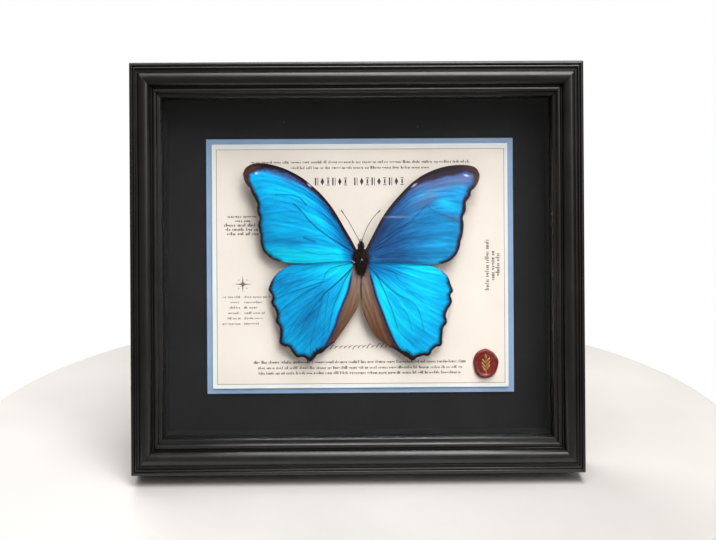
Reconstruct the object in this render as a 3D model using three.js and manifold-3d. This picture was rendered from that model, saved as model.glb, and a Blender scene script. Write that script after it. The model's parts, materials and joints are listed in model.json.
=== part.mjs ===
// A butterfly specimen in a glazed shadow-box frame that leans back on an easel strut.
// Millimetres, +Z up. The front of the frame faces -Y and X runs along its width.
// The origin is the middle of the whole object's footprint, on the table.

import * as THREE from 'three';
import { mergeVertices } from 'three/addons/utils/BufferGeometryUtils.js';
import Module from 'manifold-3d';

const wasm = await Module();
wasm.setup();

// ---- driving dimensions --------------------------------------------------------------------

const FRAME_WIDTH = 250;
const FRAME_HEIGHT = 227;
const SIDE_RAIL = 17.4; // face width of the left and right rails
const CROSS_RAIL = 19.8; // face width of the top and bottom rails
const LEAN = THREE.MathUtils.degToRad(11); // the frame leans back by this
const STRUT_OPENING = THREE.MathUtils.degToRad(22); // between the strut and the back
const GAP = 0.3; // between pieces that touch
const MITRE_PLAY = 0.2; // taken off each end of a rail

// Depths are measured from the crest of the moulding, the frontmost line, towards the back.
const LIP_BACK = 11.4; // back of the sight lip, which the glass rests on
const GLASS_THICK = 2;
const SPACER_DEEP = 16;
const BOARD_THICK = 3;
const PANEL_THICK = 3.2;
const CARD_THICK = 0.6;
const LABEL_THICK = 0.5;

const glassFront = LIP_BACK + GAP;
const spacerFront = glassFront + GLASS_THICK + GAP;
const spacerBack = spacerFront + SPACER_DEEP;
const boardFront = spacerBack + GAP;
const ledgeDepth = boardFront + BOARD_THICK; // the back panel lies on this ledge of the rails
const panelFront = ledgeDepth + GAP;
const frameDepth = panelFront + PANEL_THICK;
const cardBack = boardFront - GAP;
const labelBack = cardBack - CARD_THICK - GAP;
const labelFront = labelBack - LABEL_THICK;

// The moulding's section, drawn for a side rail: x from the outer face inwards, y the depth.
const RABBET = 13.4; // the glass, spacers and board sit inside this
const LEDGE = 7.8; // the back panel sits inside this
const SIGHT_DEPTH = 10.2; // where the ovolo ends, at the sight edge

const CARD_SIZE = [175, 145];
const LABEL_SIZE = [168.6, 139];
const CARD_PLACE = [1.7, -0.3]; // from the middle of the frame
const SEAL_PLACE = [72.9, -56.5];
const SEAL_RADII = [7.4, 8.6];
const SEAL_THICK = 2.4;

const BODY_PLACE = [2.1, 4.5]; // middle of the thorax, from the middle of the frame
const BODY_DEPTH = 22;
const FOREWING_DEPTH = 19.6;
const WING_THICK = 0.4;
const HINDWING_DEPTH = FOREWING_DEPTH + WING_THICK + GAP;
const PIN_PLACE = [2.5, 3.7];
const PIN_RADIUS = 0.25;
const PIN_HEAD_DEPTH = 15.8;
const PIN_HEAD_RADIUS = 0.6;
const PIN_TIP_DEPTH = 32.3;
const PIN_HOLE = PIN_RADIUS + GAP;

const SCREW_HEAD = 2.7;
const SCREW_RADIUS = 1.2;
const SCREW_LONG = 12;
const SCREW_INSET = 10.6; // from the outer face of a side rail
const SCREW_ALONG = 70; // from the middle of the top and bottom rails

const HINGE_HEIGHT = 165; // above the bottom of the frame, along its back
const HINGE_STANDOFF = 2.6; // hinge axis behind the back panel
const HINGE_HALF = 15;
const KNUCKLE_HALF = 7.2; // half the middle knuckle's length
const KNUCKLE_RADIUS = 2.1;
const HINGE_PIN_RADIUS = 0.9;
const LEAF_THICK = 0.8;
const LEAF_LONG = 16;
const STRUT_THICK = 3;
const STRUT_FRONT = -2; // front face of the strut, from the hinge axis
const STRUT_TOP = 2.7; // top edge of the strut, below the hinge axis
const STRUT_HALF_TOP = 17;
const STRUT_HALF_FOOT = 31;

const HANGER_HALF = 22;
const HANGER_THICK = 0.8;

// ---- materials -----------------------------------------------------------------------------

const finish = (color, roughness, metalness = 0) =>
  new THREE.MeshStandardMaterial({ color, roughness, metalness });

const blackLacquer = finish(0x232221, 0.42);
const clearGlass = finish(0xe8f1f2, 0.05);
const blackPaper = finish(0x1c1d20, 0.9);
const blueCard = finish(0x96b4d7, 0.8);
const creamCard = finish(0xf0e6da, 0.8);
const redWax = finish(0x6e1419, 0.45);
const insectBody = finish(0x15110f, 0.85);
const blueWing = finish(0x0f8fdc, 0.4);
const brownFeeler = finish(0x2c2019, 0.7);
const steel = finish(0xb9bcc0, 0.35, 0.9);
const brassPlate = finish(0xb59a5a, 0.4, 0.9);
const brownBoard = finish(0x3a2f27, 0.8);

// ---- helpers -------------------------------------------------------------------------------

function toSolid(geometry) {
  const bare = geometry.clone();
  bare.deleteAttribute('normal');
  bare.deleteAttribute('uv');
  const welded = mergeVertices(bare, 1e-4);
  return new wasm.Manifold(new wasm.Mesh({
    numProp: 3,
    vertProperties: new Float32Array(welded.attributes.position.array),
    triVerts: new Uint32Array(welded.index.array),
  }));
}

function fromSolid(solid) {
  const mesh = solid.getMesh();
  const geometry = new THREE.BufferGeometry();
  geometry.setAttribute('position', new THREE.BufferAttribute(mesh.vertProperties, 3));
  geometry.setIndex(new THREE.BufferAttribute(mesh.triVerts, 1));
  geometry.computeVertexNormals();
  return geometry;
}

function cut(geometry, cutters) {
  return fromSolid(cutters.reduce((solid, cutter) => solid.subtract(toSolid(cutter)), toSolid(geometry)));
}

function join(geometries) {
  return fromSolid(geometries.map(toSolid).reduce((whole, piece) => whole.add(piece)));
}

function named(name, geometry, material) {
  const mesh = new THREE.Mesh(geometry, material);
  mesh.name = name;
  return mesh;
}

// A flat plate in the plane of the frame: the outline is in x and z, the depth from y0 to y1.
function plate(shape, y0, y1) {
  const options = { depth: y1 - y0, bevelEnabled: false, curveSegments: 6 };
  const geometry = new THREE.ExtrudeGeometry(shape, options);
  return geometry.rotateX(Math.PI / 2).translate(0, y1, 0);
}

const outline = (points) => new THREE.Shape(points.map(([x, z]) => new THREE.Vector2(x, z)));

function box(x0, x1, y0, y1, z0, z1) {
  const geometry = new THREE.BoxGeometry(x1 - x0, y1 - y0, z1 - z0);
  return geometry.translate((x0 + x1) / 2, (y0 + y1) / 2, (z0 + z1) / 2);
}

// A turned piece whose axis runs front to back; the profile is radius and depth.
function turned(profile, x, z, sides = 12) {
  const points = profile.map(([radius, depth]) => new THREE.Vector2(radius, depth));
  return new THREE.LatheGeometry(points, sides).translate(x, 0, z);
}

const drill = (radius, y0, y1, x, z, sides = 8) =>
  turned([[0, y0], [radius, y0], [radius, y1], [0, y1]], x, z, sides);

// ---- moulding ------------------------------------------------------------------------------

// The lacquered face: two beads, a fillet, a broad hump, a third bead, a flat band and an ovolo.
function mouldingSection() {
  const [outerSide, crest, innerSide] = [Math.PI, Math.PI * 1.5, Math.PI * 2];
  const bandEnd = [16.3, 5.6];
  const path = new THREE.Path();
  path.moveTo(0, frameDepth);
  path.lineTo(0, 2.45);
  path.absellipse(1.3, 2.45, 1.3, 1.1, outerSide, crest);
  path.absellipse(1.3, 2, 0.55, 0.65, crest, innerSide);
  path.absellipse(2.75, 2.3, 0.8, 0.95, outerSide, crest);
  path.absellipse(2.75, 2.2, 0.45, 0.85, crest, innerSide);
  path.lineTo(3.35, 2.6);
  path.lineTo(4.1, 2.75);
  path.absellipse(7.5, 4, 3.3, 4, outerSide + 0.33, crest);
  path.absellipse(7.5, 2.9, 3.9, 2.9, crest, innerSide - 0.21);
  path.lineTo(11.6, 4.7);
  path.lineTo(12.1, 4.8);
  path.absellipse(13.5, 4.8, 1.4, 1.6, outerSide, innerSide);
  path.lineTo(15, 5.3);
  path.lineTo(...bandEnd);
  const ovolo = [SIDE_RAIL - bandEnd[0], SIGHT_DEPTH - bandEnd[1]];
  path.absellipse(bandEnd[0], SIGHT_DEPTH, ...ovolo, crest, innerSide);
  path.lineTo(SIDE_RAIL, LIP_BACK);
  path.lineTo(RABBET, LIP_BACK);
  path.lineTo(RABBET, ledgeDepth);
  path.lineTo(LEDGE, ledgeDepth);
  path.lineTo(LEDGE, frameDepth);
  const points = path.getPoints(3);
  return points.filter((point, i) => i === 0 || point.distanceTo(points[i - 1]) > 1e-6);
}

// One mitred rail: the section is swept between its two mitres. The cross rails are wider than
// the side rails, so the section is stretched to each rail's own width.
function railGeometry(side) {
  const section = mouldingSection();
  const sign = side === 'top' || side === 'right' ? 1 : -1;
  const across = side === 'left' || side === 'right';
  const positions = [];
  for (const end of [-1, 1]) {
    for (const { x: inset, y: depth } of section) {
      const sideways = FRAME_WIDTH / 2 - inset;
      const upright = FRAME_HEIGHT / 2 - (inset * CROSS_RAIL) / SIDE_RAIL;
      if (across) positions.push(sign * sideways, depth, end * (upright - MITRE_PLAY));
      else positions.push(end * (sideways - MITRE_PLAY), depth, sign * upright);
    }
  }
  const n = section.length;
  const faces = [];
  for (let i = 0; i < n; i += 1) {
    const j = (i + 1) % n;
    faces.push([i, j, n + j], [i, n + j, n + i]);
  }
  for (const [a, b, c] of THREE.ShapeUtils.triangulateShape(section, [])) {
    faces.push([c, b, a], [n + a, n + b, n + c]);
  }
  // Mirrored sides turn their faces round, so the faces of half the rails are flipped.
  const flip = across === (sign > 0);
  const index = faces.flatMap(([a, b, c]) => (flip ? [c, b, a] : [a, b, c]));
  const geometry = new THREE.BufferGeometry();
  geometry.setAttribute('position', new THREE.Float32BufferAttribute(positions, 3));
  geometry.setIndex(index);
  return geometry;
}

// A distance in from the outer face of a side rail, as it is on a cross rail.
const scaled = (inset) => (inset * CROSS_RAIL) / SIDE_RAIL;

const screwRowX = FRAME_WIDTH / 2 - SCREW_INSET;
const screwRowZ = FRAME_HEIGHT / 2 - scaled(SCREW_INSET);
const screwPlaces = {
  top: [[-SCREW_ALONG, screwRowZ], [SCREW_ALONG, screwRowZ]],
  bottom: [[-SCREW_ALONG, -screwRowZ], [SCREW_ALONG, -screwRowZ]],
  left: [[-screwRowX, 0]],
  right: [[screwRowX, 0]],
};

// A countersunk screw, sunk 0.1 mm below the back, and the hole that takes it.
const CONE_SLOPE = (SCREW_HEAD - SCREW_RADIUS) / 1.6;

function screwGeometry([x, z]) {
  const depth = (t) => frameDepth - t;
  return turned([[0, depth(SCREW_LONG)], [SCREW_RADIUS, depth(SCREW_LONG - 1.5)],
    [SCREW_RADIUS, depth(1.7)], [SCREW_HEAD, depth(0.1)], [0, depth(0.1)]], x, z);
}

function screwHole([x, z]) {
  const depth = (t) => frameDepth - t;
  const radius = SCREW_RADIUS + GAP;
  const neck = 0.1 + (SCREW_HEAD + 0.4 - radius) / CONE_SLOPE;
  return turned([[0, depth(SCREW_LONG + GAP)], [radius, depth(SCREW_LONG + GAP)], [radius, depth(neck)],
    [radius + (neck + 0.5) * CONE_SLOPE, depth(-0.5)], [0, depth(-0.5)]], x, z);
}

const hangerNailPlaces = [-1, 1].map((side) => [side * (HANGER_HALF - 4), FRAME_HEIGHT / 2 - 4.8]);

function frameRails() {
  return ['top', 'bottom', 'left', 'right'].map((side) => {
    const holes = screwPlaces[side].map(screwHole);
    if (side === 'top') {
      holes.push(...hangerNailPlaces.map(([x, z]) => drill(0.9, frameDepth - 7, frameDepth + 1, x, z)));
    }
    return named(`rail_${side}`, cut(railGeometry(side), holes), blackLacquer);
  });
}

// ---- glass, spacers and boards -------------------------------------------------------------

const insideX = FRAME_WIDTH / 2 - RABBET - GAP;
const insideZ = FRAME_HEIGHT / 2 - scaled(RABBET) - GAP;
const sightX = FRAME_WIDTH / 2 - SIDE_RAIL;
const sightZ = FRAME_HEIGHT / 2 - CROSS_RAIL;

function glassPane() {
  const pane = box(-insideX, insideX, glassFront, glassFront + GLASS_THICK, -insideZ, insideZ);
  return named('glass_pane', pane, clearGlass);
}

function spacers() {
  const strips = {
    top: [-insideX, insideX, sightZ, insideZ],
    bottom: [-insideX, insideX, -insideZ, -sightZ],
    left: [-insideX, -sightX, GAP - sightZ, sightZ - GAP],
    right: [sightX, insideX, GAP - sightZ, sightZ - GAP],
  };
  return Object.entries(strips).map(([side, [x0, x1, z0, z1]]) =>
    named(`spacer_${side}`, box(x0, x1, spacerFront, spacerBack, z0, z1), blackPaper));
}

const pinHole = () => drill(PIN_HOLE, BODY_DEPTH - 8, PIN_TIP_DEPTH + GAP, ...PIN_PLACE);

function boards() {
  const board = box(-insideX, insideX, boardFront, boardFront + BOARD_THICK, -insideZ, insideZ);
  const panelX = FRAME_WIDTH / 2 - LEDGE - GAP;
  const panelZ = FRAME_HEIGHT / 2 - scaled(LEDGE) - GAP;
  const panel = box(-panelX, panelX, panelFront, frameDepth, -panelZ, panelZ);
  const panelHoles = Object.values(screwPlaces).flat().map(screwHole);
  const leafHoles = leafScrewPlaces.map(([x, z]) => drill(1, frameDepth - 2.6, frameDepth + 1, x, z));
  return [
    named('backing_board', cut(board, [pinHole()]), blackPaper),
    named('back_panel', cut(panel, [...panelHoles, ...leafHoles]), brownBoard),
  ];
}

function backScrews() {
  return Object.entries(screwPlaces).flatMap(([side, places]) => places.map((place, i) =>
    named(`back_screw_${side}_${i + 1}`, screwGeometry(place), steel)));
}

// ---- cards and seal ------------------------------------------------------------------------

function card(name, [width, height], front, back, material) {
  const [x, z] = CARD_PLACE;
  const sheet = box(x - width / 2, x + width / 2, front, back, z - height / 2, z + height / 2);
  return named(name, cut(sheet, [pinHole()]), material);
}

function waxSeal() {
  const back = labelFront - GAP;
  const rim = SEAL_RADII[0];
  const profile = [[0, back - 1.2], [rim * 0.7, back - 1.2], [rim * 0.78, back - SEAL_THICK],
    [rim * 0.9, back - SEAL_THICK], [rim, back - 1], [rim * 0.97, back], [0, back]];
  const disc = turned(profile, 0, 0, 20);
  disc.scale(1, 1, SEAL_RADII[1] / rim).translate(SEAL_PLACE[0], 0, SEAL_PLACE[1]);
  return named('wax_seal', disc, redWax);
}

// ---- butterfly -----------------------------------------------------------------------------

// Outlines of the right wings, from the middle of the thorax.
const FOREWING = [
  [5.1, 4], [6, 11.5], [9, 17.5], [13, 24], [17, 30], [22.5, 36.5], [28, 41.5], [33.5, 46],
  [41, 49.5], [49, 52.3], [56, 53.2], [61.5, 52.4], [65.2, 50.4], [66.4, 47.5], [65.5, 43.5],
  [62.5, 38.5], [61.5, 36], [59.2, 31], [58.6, 26.5], [57.3, 22.3], [57.6, 18], [56.8, 13.5],
  [56.2, 9.5], [55.3, 5.3], [53, 1.5], [50.2, -1], [45.5, -2.6], [38.5, -3], [20, -1.8], [5.1, 0.5],
];
const HINDWING = [
  [5.1, -2.5], [20, 1], [36, -0.5], [45.6, -7.3], [49.2, -11.1], [51.5, -17.5], [50.7, -21.5],
  [51, -25.3], [48.5, -30], [48.2, -36.4], [46.3, -40.3], [45.6, -47.5], [42.5, -50.7],
  [38.4, -54.7], [35.5, -56], [29, -58.3], [24.8, -55.4], [20.5, -52.2], [16.5, -49.5],
  [11.5, -48], [6, -42], [2, -34.5], [0.8, -26], [0.8, -14], [2.8, -11], [5.1, -7],
];

// Body of revolution along Z: radius and height from the tip of the abdomen to the front of the head.
const BODY_PROFILE = [
  [0, -9.8], [1.3, -9.2], [2, -7.5], [2.6, -5.6], [3.7, -4], [4.4, -1.5], [4.4, 1.5], [3.6, 4],
  [1.7, 5.3], [2, 6.6], [1.9, 8], [1.2, 9], [0, 9.3],
];

// Each feeler runs from the head to its club: x, depth and z from the middle of the thorax.
const FEELER_PATHS = {
  left: [[-1.5, -2, 9.6], [-6.1, -2.6, 19.3], [-11.3, -3.4, 27.5]],
  right: [[1.5, -2, 9.6], [5, -2.6, 19.3], [11.2, -3.4, 27.2]],
};
const FEELER_RADIUS = 0.3;

function wing(name, points, side, front) {
  const [bodyX, bodyZ] = BODY_PLACE;
  const placed = points.map(([x, z]) => [bodyX + side * x, bodyZ + z]);
  if (side < 0) placed.reverse();
  return named(name, plate(outline(placed), front, front + WING_THICK), blueWing);
}

function insect() {
  const profile = BODY_PROFILE.map(([radius, z]) => new THREE.Vector2(radius, z));
  const body = new THREE.LatheGeometry(profile, 12).rotateX(Math.PI / 2);
  body.translate(BODY_PLACE[0], BODY_DEPTH, BODY_PLACE[1]);
  return named('butterfly_body', cut(body, [pinHole()]), insectBody);
}

function feeler(side) {
  const points = FEELER_PATHS[side].map(([x, y, z]) =>
    new THREE.Vector3(BODY_PLACE[0] + x, BODY_DEPTH + y, BODY_PLACE[1] + z));
  const section = new THREE.Shape();
  section.absarc(0, 0, FEELER_RADIUS, 0, Math.PI * 2);
  const geometry = new THREE.ExtrudeGeometry(section, {
    extrudePath: new THREE.CatmullRomCurve3(points), steps: 10, bevelEnabled: false, curveSegments: 6,
  });
  return named(`antenna_${side}`, geometry, brownFeeler);
}

function insectPin() {
  const head = PIN_HEAD_DEPTH;
  const profile = [[0, head], [PIN_HEAD_RADIUS * 0.8, head + 0.2], [PIN_HEAD_RADIUS, head + 0.6],
    [PIN_HEAD_RADIUS * 0.7, head + 1.1], [PIN_RADIUS, head + 1.2], [PIN_RADIUS, PIN_TIP_DEPTH - 1],
    [0, PIN_TIP_DEPTH]];
  return named('insect_pin', turned(profile, ...PIN_PLACE, 8), steel);
}

function butterfly() {
  return [
    insect(),
    wing('forewing_left', FOREWING, -1, FOREWING_DEPTH),
    wing('forewing_right', FOREWING, 1, FOREWING_DEPTH),
    wing('hindwing_left', HINDWING, -1, HINDWING_DEPTH),
    wing('hindwing_right', HINDWING, 1, HINDWING_DEPTH),
    feeler('left'),
    feeler('right'),
    insectPin(),
  ];
}

// ---- easel strut and its hinge -------------------------------------------------------------

// The hinge axis runs along X. Leaves and strut are drawn round the axis: y to the back, z up.
const hingeY = frameDepth + HINGE_STANDOFF;
const hingeZ = HINGE_HEIGHT - FRAME_HEIGHT / 2;
const leafScrewPlaces = [-8.5, 8.5].map((x) => [x, hingeZ + 10.5]);
const rivetPlaces = [-8.5, 8.5].map((x) => [x, -10.5]);

function knuckle(x0, x1) {
  const ring = new THREE.Shape();
  ring.absarc(0, 0, KNUCKLE_RADIUS, 0, Math.PI * 2);
  const bore = new THREE.Path();
  bore.absarc(0, 0, HINGE_PIN_RADIUS + GAP + 0.05, 0, Math.PI * 2, true);
  ring.holes.push(bore);
  const tube = new THREE.ExtrudeGeometry(ring, { depth: x1 - x0, bevelEnabled: false, curveSegments: 16 });
  return tube.rotateY(Math.PI / 2).translate(x0, 0, 0);
}

function hingeFixedParts() {
  const plateFront = GAP - HINGE_STANDOFF;
  const clear = KNUCKLE_RADIUS + GAP; // the leaf starts above the strut's knuckle
  const leaf = box(-HINGE_HALF, HINGE_HALF, plateFront, plateFront + LEAF_THICK, clear, LEAF_LONG);
  const webs = [-1, 1].map((side) => {
    const x0 = side < 0 ? -HINGE_HALF : KNUCKLE_HALF + GAP;
    const x1 = x0 + HINGE_HALF - KNUCKLE_HALF - GAP;
    return join([knuckle(x0, x1), box(x0, x1, plateFront, plateFront + LEAF_THICK, 0, clear + 0.3)]);
  });
  const bores = leafScrewPlaces.map(([x, z]) => drill(1.1, -4, 0, x, z - hingeZ));
  const fixedLeaf = cut(join([leaf, ...webs]), bores);
  const pin = new THREE.CylinderGeometry(HINGE_PIN_RADIUS, HINGE_PIN_RADIUS, 2 * HINGE_HALF + 1, 16);
  const leafTop = plateFront + LEAF_THICK + GAP;
  const screws = leafScrewPlaces.map(([x, z], i) => {
    const profile = [[0, -5], [0.7, -4.6], [0.7, leafTop], [1.8, leafTop], [1.5, leafTop + 0.8],
      [0, leafTop + 1]];
    return named(`hinge_screw_${i + 1}`, turned(profile, x, z - hingeZ), steel);
  });
  return [
    named('hinge_leaf_fixed', fixedLeaf, brassPlate),
    named('hinge_pin', pin.rotateZ(Math.PI / 2), steel),
    ...screws,
  ];
}

function strutParts(hingeAboveTable) {
  const tilt = STRUT_OPENING - LEAN; // from the vertical, foot towards the back
  const reach = hingeAboveTable + 10; // longer than needed, then cut flush with the table
  const shape = outline([
    [-STRUT_HALF_FOOT, -reach], [STRUT_HALF_FOOT, -reach], [STRUT_HALF_TOP + 2, -LEAF_LONG - 22],
    [STRUT_HALF_TOP, -LEAF_LONG - 4], [STRUT_HALF_TOP, -STRUT_TOP - 2], [STRUT_HALF_TOP - 2, -STRUT_TOP],
    [2 - STRUT_HALF_TOP, -STRUT_TOP], [-STRUT_HALF_TOP, -STRUT_TOP - 2],
    [-STRUT_HALF_TOP, -LEAF_LONG - 4], [-STRUT_HALF_TOP - 2, -LEAF_LONG - 22],
  ]);
  const blank = plate(shape, STRUT_FRONT, STRUT_FRONT + STRUT_THICK);
  const table = new THREE.BoxGeometry(200, 200, 40).translate(0, 0, -hingeAboveTable - 20);
  table.rotateX(-tilt);
  const strutBack = STRUT_FRONT + STRUT_THICK;
  const strut = cut(blank, [table, ...rivetPlaces.map(([x, z]) => drill(1.1, -5, 5, x, z))]);
  const leafFront = strutBack + GAP;
  const leafBack = leafFront + LEAF_THICK;
  const leaf = join([
    box(-HINGE_HALF, HINGE_HALF, leafFront, leafBack, -LEAF_LONG, -STRUT_TOP),
    box(-KNUCKLE_HALF, KNUCKLE_HALF, leafFront, leafBack, -STRUT_TOP - 0.5, 0),
    knuckle(-KNUCKLE_HALF, KNUCKLE_HALF),
  ]);
  const rivets = rivetPlaces.map(([x, z], i) => {
    const seat = leafBack + GAP;
    const profile = [[0, STRUT_FRONT + 0.1], [0.8, STRUT_FRONT + 0.1], [0.8, seat], [1.8, seat],
      [1.4, seat + 0.6], [0, seat + 0.8]];
    return named(`strut_rivet_${i + 1}`, turned(profile, x, z), steel);
  });
  return [
    named('easel_strut', strut, brownBoard),
    named('hinge_leaf_strut', cut(leaf, rivetPlaces.map(([x, z]) => drill(1.1, 0, 5, x, z))), brassPlate),
    ...rivets,
  ];
}

// ---- sawtooth hanger on the top rail -------------------------------------------------------

function hanger() {
  const middle = FRAME_HEIGHT / 2 - 4.8;
  const teeth = 9;
  const pitch = 2.4;
  const top = middle + 3.2;
  const points = [[HANGER_HALF, middle], [HANGER_HALF - 2, top], [2 - HANGER_HALF, top],
    [-HANGER_HALF, middle], [2 - HANGER_HALF, middle - 2.4], [-teeth * pitch / 2, middle - 2.4]];
  for (let i = 0; i < teeth; i += 1) {
    const x = (i - teeth / 2) * pitch;
    points.push([x + pitch / 2, middle - 0.9], [x + pitch, middle - 2.4]);
  }
  points.push([HANGER_HALF - 2, middle - 2.4]);
  const front = frameDepth + GAP;
  const strip = plate(outline(points.reverse()), front, front + HANGER_THICK);
  const bores = hangerNailPlaces.map(([x, z]) => drill(0.95, front - 1, front + 3, x, z));
  const nails = hangerNailPlaces.map(([x, z], i) => {
    const seat = front + HANGER_THICK + GAP;
    const profile = [[0, frameDepth - 6.5], [0.55, frameDepth - 5.5], [0.55, seat], [1.6, seat],
      [1.6, seat + 0.6], [0, seat + 0.7]];
    return named(`hanger_nail_${i + 1}`, turned(profile, x, z), steel);
  });
  return [named('sawtooth_hanger', cut(strip, bores), brassPlate), ...nails];
}

// ---- assembly ------------------------------------------------------------------------------

const group = new THREE.Group();
const leaning = new THREE.Group(); // the frame's own axes: x across, y into the depth, z up its face
const hingeFixed = new THREE.Group();
const strutGroup = new THREE.Group();

leaning.rotation.x = -LEAN;
leaning.position.z = (FRAME_HEIGHT / 2) * Math.cos(LEAN) + frameDepth * Math.sin(LEAN);
hingeFixed.position.set(0, hingeY, hingeZ);
strutGroup.position.set(0, hingeY, hingeZ);
strutGroup.rotation.x = STRUT_OPENING;

const hingeAboveTable = leaning.position.z + hingeZ * Math.cos(LEAN) - hingeY * Math.sin(LEAN);

leaning.add(...frameRails(), glassPane(), ...spacers(), ...boards(), ...backScrews());
leaning.add(card('blue_card', CARD_SIZE, cardBack - CARD_THICK, cardBack, blueCard));
leaning.add(card('label_card', LABEL_SIZE, labelFront, labelBack, creamCard));
leaning.add(waxSeal(), ...butterfly(), ...hanger());
hingeFixed.add(...hingeFixedParts());
strutGroup.add(...strutParts(hingeAboveTable));
leaning.add(hingeFixed, strutGroup);
group.add(leaning);

group.updateMatrixWorld(true);
const footprint = new THREE.Box3().setFromObject(group, true);
group.position.y = -(footprint.min.y + footprint.max.y) / 2;

export default group;
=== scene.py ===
"""A framed butterfly specimen on its easel strut: the looks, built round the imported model."""
import json
import math

import bmesh
import bpy
import numpy as np
from mathutils import Matrix, Vector


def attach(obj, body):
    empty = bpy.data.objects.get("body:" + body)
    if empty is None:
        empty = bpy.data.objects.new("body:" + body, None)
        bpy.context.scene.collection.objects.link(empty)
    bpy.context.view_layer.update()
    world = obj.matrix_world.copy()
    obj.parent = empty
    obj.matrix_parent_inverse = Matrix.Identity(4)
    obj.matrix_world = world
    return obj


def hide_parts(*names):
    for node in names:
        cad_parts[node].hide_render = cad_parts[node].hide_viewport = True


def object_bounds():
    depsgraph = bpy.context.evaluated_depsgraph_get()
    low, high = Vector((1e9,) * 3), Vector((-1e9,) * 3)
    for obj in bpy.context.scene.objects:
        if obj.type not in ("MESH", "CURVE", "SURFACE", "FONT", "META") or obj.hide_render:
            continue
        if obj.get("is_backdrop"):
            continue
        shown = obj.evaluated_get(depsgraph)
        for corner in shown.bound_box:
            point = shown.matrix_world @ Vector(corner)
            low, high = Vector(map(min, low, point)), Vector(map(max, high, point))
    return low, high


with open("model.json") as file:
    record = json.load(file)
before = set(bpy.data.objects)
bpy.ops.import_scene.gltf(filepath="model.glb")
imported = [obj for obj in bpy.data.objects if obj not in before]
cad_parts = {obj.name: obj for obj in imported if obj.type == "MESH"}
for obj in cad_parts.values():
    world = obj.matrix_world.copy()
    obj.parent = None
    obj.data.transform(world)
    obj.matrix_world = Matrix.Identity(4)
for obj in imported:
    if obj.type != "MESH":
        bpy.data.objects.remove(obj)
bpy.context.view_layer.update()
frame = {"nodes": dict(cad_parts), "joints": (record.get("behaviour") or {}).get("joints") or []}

scene = bpy.context.scene
scene.view_settings.view_transform = "Standard"

# ---- sizes, in millimetres -----------------------------------------------------------------
# The frame's own axes start at the middle of its face: x across, y into the depth, z up the face.

MM = 0.001
LEAN = math.radians(11)
STRUT_OPENING = math.radians(22)
HINGE_DEPTH = 39.4
HINGE_PLACE = Vector((0, HINGE_DEPTH, 51.5))  # the middle of the strut's hinge
FRAME_WIDTH, FRAME_HEIGHT = 250.0, 227.0
CROSS_SHARE = 19.8 / 17.4  # a cross rail's width against a side rail's
REAR = 36.8  # the depth of the rails' rear face
CARD_FRONT = 28.6  # the depth of the printed card's front
BODY = (2.1, 4.5)  # the middle of the insect's body, as x and z
PIN = (2.5, 3.7)  # the insect pin, as x and z

hinge = Vector(frame["joints"][0]["pos_m"])
FACE = (
    Matrix.Translation(hinge)
    @ Matrix.Rotation(-LEAN, 4, "X")
    @ Matrix.Translation(-HINGE_PLACE * MM)
    @ Matrix.Scale(MM, 4)
)
STRUT = (
    Matrix.Translation(hinge)
    @ Matrix.Rotation(STRUT_OPENING - LEAN, 4, "X")
    @ Matrix.Scale(MM, 4)
)

# ---- helpers: shapes -----------------------------------------------------------------------


class Shape:
    """Points and faces of one piece, in millimetres, with a material number for each face."""

    def __init__(self):
        self.points, self.faces, self.marks = [], [], []

    def add(self, points, faces, mark=0):
        start = len(self.points)
        self.points.extend([tuple(p) for p in points])
        self.faces.extend([tuple(start + i for i in f) for f in faces])
        self.marks.extend([mark] * len(faces))
        return self

    def rings(self, rings, mark=0):
        """A closed skin over rings of points, capped at both ends."""
        rings = np.asarray(rings, float)
        count, size = rings.shape[:2]
        faces = []
        for a in range(0, (count - 1) * size, size):
            b = a + size
            faces += [(a + j, a + (j + 1) % size, b + (j + 1) % size, b + j) for j in range(size)]
        faces += [tuple(reversed(range(size))), tuple(range((count - 1) * size, count * size))]
        return self.add(rings.reshape(-1, 3), faces, mark)

    def prism(self, ring, y0, y1):
        """A flat outline of (x, z) points made solid between two depths."""
        return self.rings([[(x, y, z) for x, z in ring] for y in (y0, y1)])

    def box(self, x0, x1, y0, y1, z0, z1):
        return self.prism([(x0, z0), (x1, z0), (x1, z1), (x0, z1)], y0, y1)

    def turned(self, profile, x, z, sides=24):
        """A profile of (radius, depth) turned about an axis into the depth at x, z."""
        turn = [2 * math.pi * i / sides for i in range(sides)]
        return self.rings([[(x + r * math.cos(a), y, z + r * math.sin(a)) for a in turn] for r, y in profile])

    def tube(self, path, radii, mark=0):
        """A rod of eight sides along a path."""
        path = np.asarray(path, float)
        radii = np.broadcast_to(np.asarray(radii, float), (len(path),))
        ahead = np.gradient(path, axis=0)
        ahead /= np.linalg.norm(ahead, axis=1)[:, None]
        side = np.cross(ahead, (0.0, 1.0, 0.0))
        side /= np.maximum(np.linalg.norm(side, axis=1), 1e-9)[:, None]
        over = np.cross(side, ahead)
        turn = np.pi / 4 * np.arange(8)[None, :, None]
        around = np.cos(turn) * side[:, None] + np.sin(turn) * over[:, None]
        return self.rings(path[:, None] + radii[:, None, None] * around, mark)


def face_outwards(mesh):
    work = bmesh.new()
    work.from_mesh(mesh)
    bmesh.ops.recalc_face_normals(work, faces=work.faces)
    work.to_mesh(mesh)
    work.free()


def smooth(mesh, degrees):
    """Smooth shading, with edges sharper than the angle left hard."""
    mesh.polygons.foreach_set("use_smooth", [True] * len(mesh.polygons))
    mesh.set_sharp_from_angle(angle=math.radians(degrees))


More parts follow.
